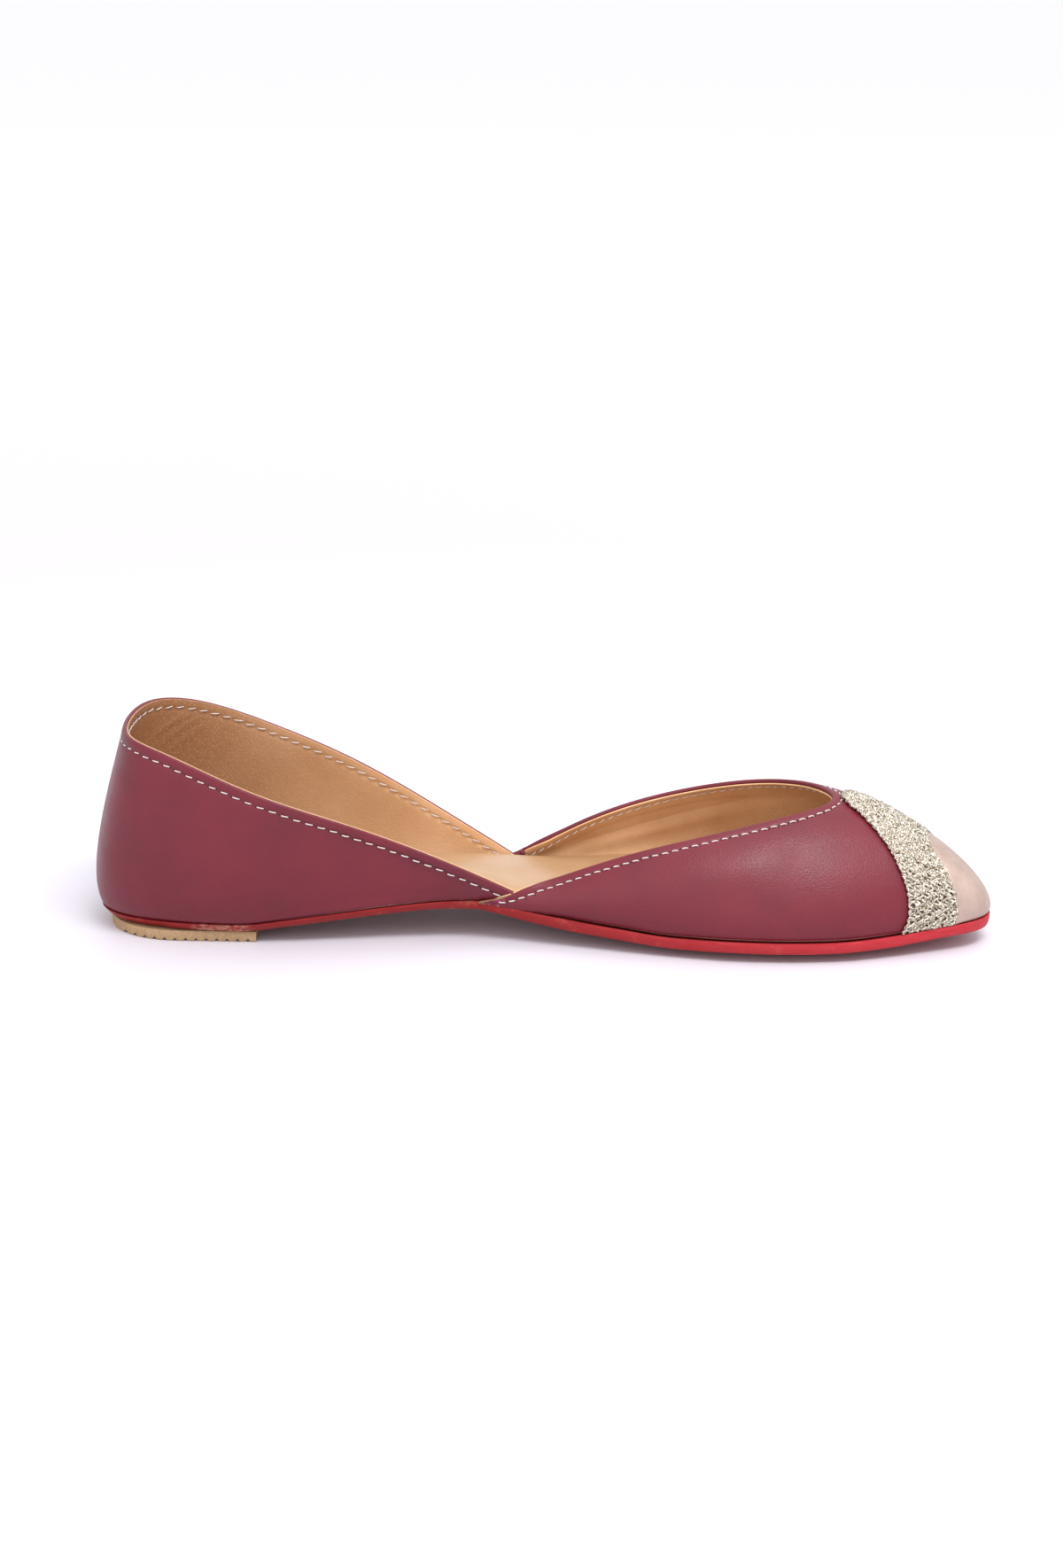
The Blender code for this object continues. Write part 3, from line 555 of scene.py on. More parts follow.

# %% [markdown]
# ## Creases in the leather
# Leather that has been pulled over a last keeps a few soft dents and swells. Each is laid where
# the photograph shows it, as a row with its place on the sheet, its length, width, slant and depth. Their
# sum moves the sheet along its normal, so the creases are real and catch the light from every side.

# %% Creases
Crease = namedtuple("Crease", "where t_share v long wide slant depth")
OUTSIDE_CREASES = [
    Crease("swell over the ball, medial", 1.325, 0.62, 26.0, 7.0, -8.0, 0.45),
    Crease("dent under it", 1.330, 0.34, 24.0, 6.0, -6.0, -0.35),
    Crease("dent behind the braid", 1.235, 0.55, 9.0, 14.0, 20.0, -0.30),
    Crease("swell by the waist, medial", 1.455, 0.50, 13.0, 6.0, 10.0, 0.25),
    Crease("hollow of the quarter, medial", 1.690, 0.42, 24.0, 12.0, -18.0, -0.85),
    Crease("heel counter's edge, medial", 1.805, 0.50, 4.0, 24.0, 8.0, 0.22),
    Crease("heel seat swell, medial", 1.880, 0.14, 16.0, 6.0, 0.0, 0.30),
    Crease("swell over the ball, lateral", 0.690, 0.60, 24.0, 8.0, 8.0, 0.40),
    Crease("dent under it, lateral", 0.640, 0.35, 18.0, 6.0, 6.0, -0.35),
    Crease("hollow of the quarter, lateral", 0.300, 0.45, 24.0, 13.0, 18.0, -0.45),
    Crease("heel counter's edge, lateral", 0.195, 0.50, 4.0, 24.0, -8.0, 0.22),
]
INSIDE_CREASES = [
    Crease("trough along the far vamp", 0.620, 0.62, 30.0, 2.4, 4.0, -1.30),
    Crease("ridge below it", 0.630, 0.46, 28.0, 3.2, 6.0, 0.75),
    Crease("wrinkle under the heel rim", 0.090, 0.86, 7.0, 0.7, 30.0, 0.30),
    Crease("second wrinkle", 0.100, 0.82, 7.0, 0.7, 34.0, 0.28),
    Crease("third wrinkle", 0.110, 0.78, 6.0, 0.7, 38.0, 0.26),
    Crease("soft dent in the far quarter", 0.220, 0.60, 20.0, 7.0, 30.0, -0.40),
    Crease("trough along the near vamp", 1.360, 0.60, 30.0, 2.6, -4.0, -0.55),
    Crease("wrinkle under the heel rim, medial", 1.935, 0.78, 8.0, 1.2, -20.0, 0.25),
]


def relief(t, v, rib_length, creases):
    """Sum of the creases: each is a bell, long and wide in millimetres and turned by its slant."""
    total = np.zeros(np.broadcast(t, v).shape)
    for row in creases:
        along = t - row.t_share * HALF
        along = (along + HALF) % (2 * HALF) - HALF
        rise = (v - row.v) * rib_length
        turn = math.radians(row.slant)
        a = (along * math.cos(turn) + rise * math.sin(turn)) / (row.long * MM)
        b = (rise * math.cos(turn) - along * math.sin(turn)) / (row.wide * MM)
        total += row.depth * MM * np.exp(-(a**2) - b**2)
    return total


print("creases outside and inside:", len(OUTSIDE_CREASES), len(INSIDE_CREASES))

# %% [markdown]
# ## Quarter, vamp and lining
# A maker cuts the quarter, which runs round the heel, and the vamp, which covers the forefoot. The edge of
# each is pared thin, turned over and stitched down through a lining whose edge shows just inside, raw on
# the quarter. Each sheet is a closed profile carried along t: up its outer face, over a rounded rim, and
# down its inner face, which is undyed flesh on the maroon leather. The vamp is pushed outwards where it
# lies on the quarter, and lifts a little at its end.

# %% Wall of the upper
STITCH_DOWN = {False: 2.4 * MM, True: 2.2 * MM}
PITCH = {False: 3.5 * MM, True: 2.8 * MM}
SKIVE, SKIVE_WIDE = 0.12, 2.5 * MM
SEAM_DEPTH, SEAM_WIDE = 0.26 * MM, 0.55 * MM
ROLL_HEIGHT, ROLL_WIDE = 0.10 * MM, 1.0 * MM
END_LIFT, LAP_CLEAR, LAP_THINNING = 0.35 * MM, 0.04 * MM, 14 * MM
TUCK_IN, TUCK_DOWN = 0.9 * MM, 0.28 * MM
SHARE_LEATHER = 0.70
UNDERLAP = 6.0 * MM
OVERLAP = 3.0 * MM
LEATHER_ROWS, LINING_ROWS = 64, 52
Rim = namedtuple("Rim", "steps crown more_at_lap power")
LEATHER_RIM, LINING_RIM = Rim(9, 0.46 * MM, -0.6, 0.9), Rim(5, 0.36 * MM, 0.8, 0.5)
RIM_FADE = 26 * MM
Side = namedtuple("Side", "t vamp")
quarter_t = np.linspace(-(LAP + UNDERLAP), LAP + UNDERLAP, 500)
vamp_t = np.linspace(LAP - OVERLAP, 2 * HALF - LAP + OVERLAP, 580)
vamp_lining_t = np.linspace(LAP, 2 * HALF - LAP, 520)
QUARTER, VAMP, VAMP_LINING = Side(quarter_t, False), Side(vamp_t, True), Side(vamp_lining_t, True)


def faces_of_wall(side):
    """Offsets of the outer and inner face along the normal, at each t of one side."""
    beyond = past_lap(side.t)
    if side.vamp:
        lifted = END_LIFT * fade(beyond + OVERLAP, OVERLAP)
        outer = LAP_STEP * fade(beyond, LAP_FADE) + lifted
        return outer, -WALL + (WALL + LAP_CLEAR) * fade(beyond, LAP_THINNING) + lifted
    return np.zeros_like(side.t), np.full_like(side.t, -WALL)


def layers(side):
    """Offsets of the wall's outer face, of the parting between leather and lining, and of its inner face."""
    outer, inner = faces_of_wall(side)
    return outer, outer + (inner - outer) * SHARE_LEATHER, inner


def seam(below, vamp, t):
    """The stitched groove: a narrow dip along the seam, tighter at each needle hole, and a swell above."""
    dip = bell(below - STITCH_DOWN[vamp], SEAM_WIDE)
    tight = 0.75 + 0.25 * np.cos(2 * np.pi * t / PITCH[vamp])
    swell = bell(below - 0.45 * STITCH_DOWN[vamp], ROLL_WIDE)
    return -SEAM_DEPTH * dip * tight + ROLL_HEIGHT * swell


def skived(below):
    """Share of the wall's thickness left near the rim, where the leather is pared thin before folding."""
    return 1 - SKIVE * bell(below, SKIVE_WIDE)


def wall_sheet(side, rows, outer, inner, rim, creases, inside=False):
    """Grid of one sheet of the wall: outer face up, over the rim, inner face down. The creases and the seam
    shape the face that shows. With the grid come its rows on a face and its points round the rim."""
    skin = faces_of_wall(side)[0][:, None]
    v = 1 - (1 - np.linspace(0, 1, rows)) ** 1.25
    points, normal, up = sheet_frame(side.t[:, None], v[None, :], side.vamp)
    rib = lengths(points, 1)
    below = below_rim(points, side.t, side.vamp)
    shape = relief(side.t[:, None], v[None, :], rib[:, -1:], creases) * np.clip(below / (4 * MM), 0, 1)
    shape = shape * np.clip(rib / (3 * MM), 0, 1) + seam(below, side.vamp, side.t[:, None])
    front_off = skin + (outer[:, None] - skin) * skived(below) + shape * (not inside)
    back_off = skin + (inner[:, None] - skin) * skived(below) - shape * inside
    front, back = (points + normal * offset[..., None] for offset in (front_off, back_off))
    inwards = -outward(np.mod(side.t, 2 * HALF))
    front[:, 0] += np.column_stack([inwards * TUCK_IN, np.full(len(side.t), -TUCK_DOWN)])
    middle, reach = (front[:, -1] + back[:, -1]) / 2, (front[:, -1] - back[:, -1]) / 2
    turn = np.linspace(0, np.pi, rim.steps + 2)[1:-1]
    near_lap = fade(past_lap(side.t), RIM_FADE) * side.vamp
    crown = (rim.crown * (1 + rim.more_at_lap * near_lap))[:, None] * np.sin(turn) ** rim.power
    arc = middle[:, None] + reach[:, None] * np.cos(turn)[None, :, None]
    arc = arc + up[:, -1:] * crown[..., None]
    grid = np.concatenate([front, arc, back[:, ::-1]], axis=1)
    return grid, rows, len(turn)


def wall_piece(name, side, grid, rows, arcs, material, slot, cut_rim, flesh=0.0):
    """The mesh of a sheet, its two ends closed as cut edges; cut_rim and flesh say how raw its rim and
    its back look."""
    columns = grid.shape[1]
    quads = grid_quads(grid.shape[0], columns)
    place = np.arange(columns - 1)
    on_rim = (place >= rows - 1) & (place < rows + arcs // 2)
    cut = np.tile(on_rim * cut_rim + (place >= rows + arcs) * flesh, grid.shape[0] - 1)
    j = np.arange(rows - 1)
    ends = []
    for start, turned in ((0, False), ((grid.shape[0] - 1) * columns, True)):
        end = start + np.stack([j, columns - 1 - j, columns - 2 - j, j + 1], axis=1)
        ends.append(end[:, ::-1] if turned else end)
    quads = np.concatenate([quads, *ends])
    cut = np.concatenate([cut, np.ones(2 * (rows - 1))])
    uv = np.stack([np.broadcast_to(side.t[:, None], grid.shape[:2]), lengths(grid, 1)], axis=-1)
    return make_piece(name, grid, quads, material, ["upper"], uv, cut)


for side, lining_side, label, raw in ((QUARTER, QUARTER, "quarter", 1.0), (VAMP, VAMP_LINING, "vamp", 0.1)):
    outer, parting, _ = layers(side)
    made = wall_sheet(side, LEATHER_ROWS, outer, parting, LEATHER_RIM, OUTSIDE_CREASES)
    wall_piece(label + "_leather", side, *made, maroon, "upper_leather", 0.0, flesh=1.0)
    _, parting, inner = layers(lining_side)
    parting = parting - 0.05 * MM
    made = wall_sheet(lining_side, LINING_ROWS, parting, inner, LINING_RIM, INSIDE_CREASES, inside=True)
    wall_piece(label + "_lining", lining_side, *made, tan, "lining_leather", raw)

# %% [markdown]
# ## Sole leather
# The sole is vegetable tanned leather, its edge trimmed with a knife, dyed red and rubbed. Such an edge is
# not quite even: it keeps facets of the knife, small scuffs, and dabs of dried cement near the heel. The
# section is a ring of points: top, rounded edge, underside, rounded edge.


# %% Outsole
def red_sole_material(dabs):
    """Dyed sole leather: streaks along the edge, scuffed lighter in places, dabs of dried cement towards the
    heel and a paler pink patch near the toe.
    """
    material, tree, shader, place = start_material(
        "red_dyed_sole_leather", Roughness=0.5, Specular_IOR_Level=0.2
    )
    streak_place = add(tree, "Mapping", {"Vector": place, "Scale": (0.12, 0.5, 1.6)}).outputs["Vector"]
    streaks = spread(tree, noise(tree, streak_place, 1.2, 6.0, 0.65), 0.35, 0.7)
    colour = mix(tree, streaks, srgb("#A9242D"), srgb("#B3343B"))
    back = spread(tree, part_of(tree, place, "X"), 0.100, 0.0, 0.0, 0.88)
    colour = mix(tree, back, colour, srgb("#7A1A19"))
    scuffs = spread(tree, noise(tree, place, 5.0, 8.0, 0.75), 0.57, 0.72, 0.0, 0.7)
    colour = mix(tree, scuffs, colour, srgb("#AE4E48"))
    for centre, radius, tone in dabs:
        colour = mix(tree, patch_mask(tree, place, centre, radius, 1.4), colour, srgb(tone))
    dress(tree, shader, colour, bump(tree, noise(tree, place, 0.7, 6.0, 0.7), 0.10))
    return material


def pairs(count):
    """Places t down the lateral side and across from them on the medial side, from heel to toe."""
    share = np.linspace(0, 1, count)
    t = HALF * (share - 0.06 * np.sin(2 * np.pi * share) / (2 * np.pi))
    return t, 2 * HALF - t


def moved_outline(t, offset):
    """The foot line in plan, moved outwards by offset."""
    return foot_plan(t) + outward(t) * np.asarray(offset)[:, None]


def span(lateral, medial, across):
    """Points from one outline to the other, and their side from 1 lateral to -1 medial."""
    share = (1 - np.cos(np.linspace(0, np.pi, across))) / 2
    points = lateral[:, None] * (1 - share[None, :, None]) + medial[:, None] * share[None, :, None]
    return points, np.broadcast_to(1 - 2 * share, points.shape[:2])


sole_pairs = pairs(420)
edge_down = np.linspace(0, 1, 9)[1:-1]
margins = [sole_shares(foot_plan(t)[:, 0])[:, 5] * SOLE_MARGIN for t in sole_pairs]
bevels = [sole_shares(foot_plan(t)[:, 0])[:, 6] * SOLE_BEVEL for t in sole_pairs]
tops, side_top = span(*[moved_outline(t, m) for t, m in zip(sole_pairs, margins)], 26)
unders, side_under = span(*[moved_outline(t, m - b) for t, m, b in zip(sole_pairs, margins, bevels)], 26)
tops = np.dstack([tops, sole_top(tops[..., 0], side_top)])
unders = np.dstack([unders, sole_under(unders[..., 0], side_under)])
rng = np.random.default_rng(7)
waves = rng.uniform(0, 2 * np.pi, 4)


def knife_facets(t):
    """How far the trimmed edge wanders in and out: a few slow waves of a tenth of a millimetre."""
    lengths_mm = (31.0, 17.0, 9.0, 5.3)
    depths_mm = (0.08, 0.06, 0.05, 0.035)
    return sum(d * MM * np.sin(2 * np.pi * t / (w * MM) + p) for w, d, p in zip(lengths_mm, depths_mm, waves))


def sole_edge(column, t):
    """The rounded edge from the top's rim down to the underside's rim."""
    down = edge_down[None, :, None]
    line = tops[:, column, None] * (1 - down) + unders[:, column, None] * down
    bulge = 0.30 * MM * np.sin(np.pi * edge_down) ** 0.6
    line[..., :2] += outward(t)[:, None] * (bulge[None, :] + knife_facets(t)[:, None])[..., None]
    return line


medial_edge, lateral_edge = sole_edge(-1, sole_pairs[1]), sole_edge(0, sole_pairs[0])
ring = np.concatenate([tops, medial_edge, unders[:, ::-1], lateral_edge[:, ::-1]], axis=1) + MOVE
dabs = [
    ((-0.0915, -0.0235, 0.0052), 6.0, "#CDA88E"),
    ((-0.0838, -0.0240, 0.0053), 6.5, "#CDA88E"),
    ((-0.0200, -0.0200, 0.0130), 4.0, "#B08C72"),
    # a paler, less red patch of the sole near the toe
    ((0.1100, -0.0130, 0.0095), 10.0, "#C8686A"),
]
ring_piece("outsole_leather", ring, red_sole_material(dabs), ["outsole"])

# %% [markdown]
# ## Crepe heel pad
# The pad is natural crepe rubber, cut from a corrugated sheet: cream, matt and slightly crumbly, with saw
# teeth on the floor side. The notches are cut straight across, and the floor side of each tooth is flat.

# %% Heel pad
NOTCH_MIDDLE, NOTCH_HALF = 0.72, 0.28
PAD_CORNER = 0.35 * MM


def crepe_material():
    """Crepe rubber: cream with tan crumbs, nearly no gloss, and a soft lumpy surface."""
    material, tree, shader, place = start_material(
        "crepe_rubber_sheet", Roughness=0.8, Specular_IOR_Level=0.3
    )
    crumbs = spread(tree, noise(tree, place, 0.8, 6.0, 0.7), 0.42, 0.66, 0.0, 0.7)
    colour = mix(tree, crumbs, srgb("#A58868"), srgb("#866A4C"))
    dress(tree, shader, colour, bump(tree, noise(tree, place, 0.9, 4.0, 0.6), 0.12))
    return material


def tooth(distance):
    """Lift of the pad's underside: a V notch at the end of every pitch, none near the back."""
    grooves = int((PAD_LENGTH - TREAD_PITCH) / TREAD_PITCH)
    back = PAD_LENGTH - TREAD_PITCH * (grooves + 0.5)
    phase = np.mod(distance - back, TREAD_PITCH) / TREAD_PITCH
    notch = np.clip(1 - np.abs(phase - NOTCH_MIDDLE) / NOTCH_HALF, 0, 1)
    inside = (distance > back) & (distance < back + grooves * TREAD_PITCH)
    return TREAD_DEPTH * notch * inside


round_back = PAD_LENGTH * np.linspace(0, 0.1, 14)[:-1] ** 2 * 10
distance = np.concatenate([round_back, np.linspace(0.1 * PAD_LENGTH, PAD_LENGTH, 430)])
radius = PAD_WIDTH / 2
bow = np.clip(1 - distance / radius, 0, 1)
half_width = radius * (1 - bow**2.2) ** (1 / 2.2)
height_steps = np.array([0.0, 0.12, 0.3, 0.7, 0.88, 1.0])
inset = PAD_CORNER * np.array([0.9, 0.25, 0.0, 0.0, 0.25, 0.9])
lift = tooth(distance)
rings = []
pad_x = PAD_SETBACK + distance + MOVE[0]
for sign in (1, -1):
    heights, insets = height_steps[::sign], inset[::sign]
    z = lift[:, None] * (1 - heights[None, :]) + PAD_THICKNESS * heights[None, :]
    y = sign * np.maximum(half_width[:, None] - insets[None, :], 0)
    rings.append(np.dstack([np.broadcast_to(pad_x[:, None], z.shape), y + MOVE[1], z]))
pad_grid = np.concatenate(rings, axis=1)
quads = grid_quads(*pad_grid.shape[:2], close_columns=True)
columns = pad_grid.shape[1]
last = (len(pad_grid) - 1) * columns + np.arange(columns)
front_face = np.stack([last[:5], last[1:6], last[10:5:-1], last[11:6:-1]], axis=1)
quads = np.concatenate([quads, front_face])
make_piece("heel_pad_crepe", pad_grid, quads, crepe_material(), ["heel_pad"], sharp=35)

# %% [markdown]
# ## Padded insole
# The insole is a board with thin foam under a tan leather cover, pasted in last. It is fullest along its
# middle, rolls down at its edge, shines where it is tightest, and gives under the foot.

# %% Insole
EDGE_ROLL = 3.2 * MM
PIPING_IN, PIPING_WIDE, PIPING_DEEP = 3.0 * MM, 0.45 * MM, 0.30 * MM
insole_pairs = pairs(300)
inset_rim = -(WALL + INSOLE_CLEARANCE - 0.25 * MM)
rim_lines = [moved_outline(t, np.full(t.shape, inset_rim)) for t in insole_pairs]
bed, bed_side = span(*rim_lines, 64)
ahead = np.clip((bed[..., 0] / LENGTH - 0.6) / 0.4, 0, 1)
thick = INSOLE_THICKNESS * (1 - 0.5 * ahead)
half_across = np.linalg.norm(rim_lines[0] - rim_lines[1], axis=1)[:, None] / 2
from_edge = np.clip(1 - np.abs(bed_side), 0, 1) * half_across
roll = np.sqrt(np.clip(1 - (1 - np.clip(from_edge / EDGE_ROLL, 0, 1)) ** 2, 0, 1))
under_z = sole_top(bed[..., 0], bed_side) + INSOLE_LIFT
top_z = under_z + thick * (0.45 + 0.55 * roll) + INSOLE_CROWN * (1 - bed_side**2)
pillow = 0.16 * MM * np.sin(bed[..., 0] / (23 * MM)) * np.cos(bed[..., 1] / (9 * MM)) * roll
piping = -PIPING_DEEP * bell(from_edge - PIPING_IN, PIPING_WIDE)
insole_top = np.dstack([bed, top_z + pillow + piping])
insole_grid = np.concatenate([insole_top, np.dstack([bed, under_z])[:, ::-1]], axis=1) + MOVE
insole = ring_piece("insole_pad", insole_grid, pad_leather, ["insole"])

# %% [markdown]
# ## Stitches
# The topline is sewn by machine with a waxed two ply thread, some 0.4 mm thick. Each stitch dives into its
# needle holes, so it is thickest in its middle and sunk at both ends. The line that the needle follows
# lies 2.4 mm under the quarter's rim and 2.2 mm under the vamp's, and stitches are set along it at the
# machine's pitch. The same stitches show inside, half a millimetre nearer to the rim and more slanting.

# %% Threads
LOWEST_SEAM = 0.05
THREAD_STATIONS, THREAD_SIDES = 9, 8
STITCH_SINK = 0.26
LINING_UP, LINING_LEAN, LINING_SINK = 0.5 * MM, 14.0, -0.40
Row = namedtuple("Row", "label vamp t_from t_to length radius lean hook")
STITCH_ROWS = [
    Row("quarter", False, -(LAP + 0.5 * MM), LAP + 0.5 * MM, 2.5 * MM, 0.175 * MM, 7.0, 0.0),
    Row("vamp", True, LAP - 1.6 * MM, 2 * HALF - LAP + 1.6 * MM, 2.2 * MM, 0.19 * MM, -6.0, 0.45),
]


def turns(sides):
    """The angles of a ring of points."""
    return np.linspace(0, 2 * np.pi, sides, endpoint=False)


def circle(turn, first, second):
    """Directions all round at each angle, from `first` over `second`."""
    turn = turn[:, None]
    return np.cos(turn) * first[..., None, :] + np.sin(turn) * second[..., None, :]


def read_along(places, run, rows):
    """Rows of numbers along a line, read at any distances from its start."""
    return np.stack([np.interp(places, run, column) for column in rows.T], axis=-1)


def seam_line(t, vamp, below, inside=False):
    """Points and normals of the line that runs `below` the rim, on one face of the wall."""
    v = np.full(t.shape, 0.95)
    for _ in range(6):
        away = below_rim(sheet(t, v, vamp)[:, None], t, vamp)[:, 0]
        v = np.clip(1 - (1 - v) * below / np.maximum(away, 1e-5), LOWEST_SEAM, 1)
    points, normal, _ = sheet_frame(t, v, vamp)
    outer, inner = faces_of_wall(Side(t, vamp))
    offset = outer + (inner - outer) * skived(below) if inside else outer
    return points + normal * offset[:, None], -normal if inside else normal


def stitches(name, row, inside=False):
    """A row of stitches along a seam: each a short thread that leans a little and is bent down at both
    ends. Returned are the ends of the stitches, with the normals and the directions there."""
    pitch, below = PITCH[row.vamp], STITCH_DOWN[row.vamp] - LINING_UP * inside
    length, radius = row.length, row.radius
    lean, sink, hook = row.lean, STITCH_SINK, row.hook
    if inside:
        lean, sink, hook = LINING_LEAN, LINING_SINK, 0.0
    points, normal = seam_line(np.linspace(row.t_from, row.t_to, 4000), row.vamp, below, inside)
    run = lengths(points, 0)
    starts = np.arange(pitch / 2, run[-1] - pitch / 2, pitch)
    wander = np.random.default_rng(11).normal(0, 1, (3, len(starts)))
    along = np.linspace(-0.5, 0.5, THREAD_STATIONS)
    places = starts[:, None] + along[None, :] * length * (1 + 0.05 * wander[0][:, None])
    centre = read_along(places, run, points)
    out = unit(read_along(places, run, normal))
    ahead_dir = unit(np.gradient(centre, axis=1))
    beside = np.cross(out, ahead_dir)
    bend = 1 - (2 * np.abs(along)) ** 3
    height = radius * 0.95 * bend - (1 - bend) * radius * 0.9 - sink * MM * 0.6
    hooked = hook * MM * np.clip((-along - 0.28) / 0.22, 0, 1) ** 2
    slant = along * length * np.tan(math.radians(lean)) + hooked + 0.05 * MM * wander[1][:, None]
    centre = centre + out * height[None, :, None] + beside * slant[..., None]
    thick = radius * np.sqrt(np.clip(1 - (2 * np.abs(along)) ** 4, 0.03, 1))
    turn = turns(THREAD_SIDES)
    rings = centre[:, :, None] + circle(turn, beside, out) * thick[None, :, None, None]
    quads = repeat_quads(grid_quads(THREAD_STATIONS, THREAD_SIDES, close_columns=True), len(starts))
    uv = np.stack(np.broadcast_arrays(places[:, :, None], turn[None, None, :] * radius), axis=-1)
    make_piece(name, rings, quads, thread, uv=uv, sharp=0)
    return [np.concatenate([rows[:, 0], rows[:, -1]]) for rows in (centre, out, ahead_dir)]


def thread_material():
    """Waxed polyester thread: off white, two plies that show as slanting ridges half a millimetre apart."""
    material, tree, shader, _ = start_material("waxed_polyester_thread", Roughness=0.45, Sheen_Weight=0.3)
    uv = add(tree, "UVMap", uv_map="real_size").outputs["UV"]
    turned = add(tree, "Mapping", {"Vector": uv, "Rotation": (0, 0, math.radians(35))}).outputs["Vector"]
    wave = {"Vector": turned, "Scale": 0.5 / (0.5 * MM), "Distortion": 0.0}
    ply = add(tree, "TexWave", wave).outputs["Fac"]
    # the grooves between the plies are painted darker, as painted shade
    colour = mix(tree, spread(tree, ply, 0.0, 0.6, 0.45, 0.0), srgb("#E4DAD6"), srgb("#AE9B95"))
    dress(tree, shader, colour, bump(tree, ply, 0.12))
    return material


thread = thread_material()
holes = []
for row in STITCH_ROWS:
    holes.append(stitches(f"{row.label}_stitches", row))
    stitches(f"{row.label}_lining_stitches", row, inside=True)

# %% [markdown]
# ## Needle holes
# Where a stitch dives, the needle has left a small dark hole. At this scale it is a flat dark drop in the
# leather, half a millimetre wide, set at both ends of every stitch.

# %% Holes
HOLE_LONG, HOLE_WIDE, HOLE_ABOVE = 0.24 * MM, 0.27 * MM, 0.28 * MM


def needle_holes(name, ends, normals, ahead_dirs):
    """Flat dark discs at the stitches' ends, each with six corners."""
    disc = circle(turns(6), HOLE_LONG * ahead_dirs, HOLE_WIDE * np.cross(normals, ahead_dirs))
    rim = ends[:, None] + disc + normals[:, None] * HOLE_ABOVE
    quads = repeat_quads(np.array([[0, 1, 2, 3], [0, 3, 4, 5]]), len(ends))
    make_piece(name, rim, quads, dark, sharp=0)


dark, _, dark_shader, _ = start_material("shaded_needle_hole", Roughness=0.9)
dark_shader.inputs["Base Color"].default_value = srgb("#32141B")
for row, hole_places in zip(STITCH_ROWS, holes):
    needle_holes(f"{row.label}_needle_holes", *hole_places)

# %% [markdown]
# ## Braid band
# The band is a soft lace of metallic thread, knitted in six ribs that run along it. Two strands make each
# rib: they swing from side to side and pass over and under each other like a plait. The strands are tubes
# on the upper's own surface, between the band's two edges, over a darker backing sheet whose dark tone is
# painted shade in the gaps between the strands.

# %% Band's surface
Edge = namedtuple("Edge", "round high")
BRAID_BACK = [Edge(0.00, 0.970), Edge(0.25, 0.940), Edge(0.50, 0.815), Edge(0.75, 0.500), Edge(1.00, 0.000)]
BRAID_FRONT = [Edge(0.00, 0.580), Edge(0.35, 0.545), Edge(0.70, 0.360), Edge(1.00, 0.000)]
BRAID_BACK_FOOT, BRAID_FRONT_FOOT = 0.898, 0.957
FOOT_HEM = 0.015


def at_foot_x(share):
    """The t on the lateral side whose foot lies at this share of LENGTH."""
    t = np.linspace(0, HALF, 2001)
    return float(np.interp(share * LENGTH, foot_plan(t)[:, 0], t))


def edge_high(rows, share):
    """How high an edge of the band runs on the rib, at this share of its way round from the toe."""
    values = np.array([[row.high] for row in rows])
    return level_spline([row.round for row in rows], values, np.ravel(share))[:, 0].reshape(np.shape(share))


def band_place(way, share):
    """(t, v) on the band: way runs from -1 to 1 along it, and share from its back to its front edge."""
    way, share = np.broadcast_arrays(way, share)
    back, front = (HALF - at_foot_x(BRAID_BACK_FOOT)) * way, (HALF - at_foot_x(BRAID_FRONT_FOOT)) * way
    v_back = np.maximum(edge_high(BRAID_BACK, np.abs(way)), FOOT_HEM)
    v_front = np.maximum(edge_high(BRAID_FRONT, np.abs(way)), FOOT_HEM)
    return HALF + back * (1 - share) + front * share, v_back * (1 - share) + v_front * share


def band_points(way, share, offset):
    """Points over the upper at one offset from its face, with their normals."""
    points, normal, _ = sheet_frame(*band_place(way, share), True)
    return points + normal * np.asarray(offset)[..., None], normal


def closed_patch(t, v, low, high):
    """A sheet with two faces and rounded edges over the band or the cap."""
    points, normal, _ = sheet_frame(t, v, True)
    swell = np.sqrt(np.clip(1 - np.linspace(-1, 1, t.shape[1]) ** 8, 0, 1))[None, :]
    over = points + normal * (low + (high - low) * swell)[..., None]
    under = points + normal * np.full(t.shape, low)[..., None]
    return np.concatenate([over, under[:, ::-1]], axis=1)


def braid_material(name, light, shade, metallic):
    """Metallised film wound on thread: gold flecks beside brown, 0.4 mm across, partly glitter, partly
    painted glints and shade.
    """
    material, tree, shader, place = start_material(name, Roughness=0.28, Metallic=metallic)
    # flecks: partly the film's own glitter, partly painted glints and painted shade in the gaps
    flecks = spread(tree, noise(tree, place, 0.42, 3.0, 0.6), 0.38, 0.60)
    colour = mix(tree, flecks, srgb(shade), srgb(light))
    facets = add(tree, "TexVoronoi", {"Vector": place, "Scale": 1.0 / (0.34 * MM)}).outputs["Distance"]
    dress(tree, shader, colour, bump(tree, facets, 0.16))
    return material


gold = braid_material("metallised_lace_thread", "#E2DCCF", "#6C5A3C", 0.8)
# the backing is a darker copy of the lace: painted shade seen through the gaps between the strands
backing = braid_material("shaded_lace_backing", "#5E4A32", "#33261A", 0.2)
way_grid = np.linspace(-1, 1, 160)[:, None]
share_grid = np.linspace(0.035, 1, 28)[None, :]
backing_grid = closed_patch(*band_place(way_grid, share_grid), GAP, 0.75 * MM)
ring_piece("braid_backing", backing_grid, backing, ["braid_band"])

# %% [markdown]
# ## Strands of the braid
# Twelve strands are laid in six pairs, with a thinner one in each gap and at both edges. The number of
# swings along the band follows from a real pitch of 2.9 mm, and a little noise in height, width and phase
# keeps the lace from looking like a machine part.

# %% Strands
RIBS_ACROSS = 6
STRAND_STATIONS, STRAND_SIDES = 520, 7
STRAND_PITCH, FILLER_PITCH = 2.9, 1.7


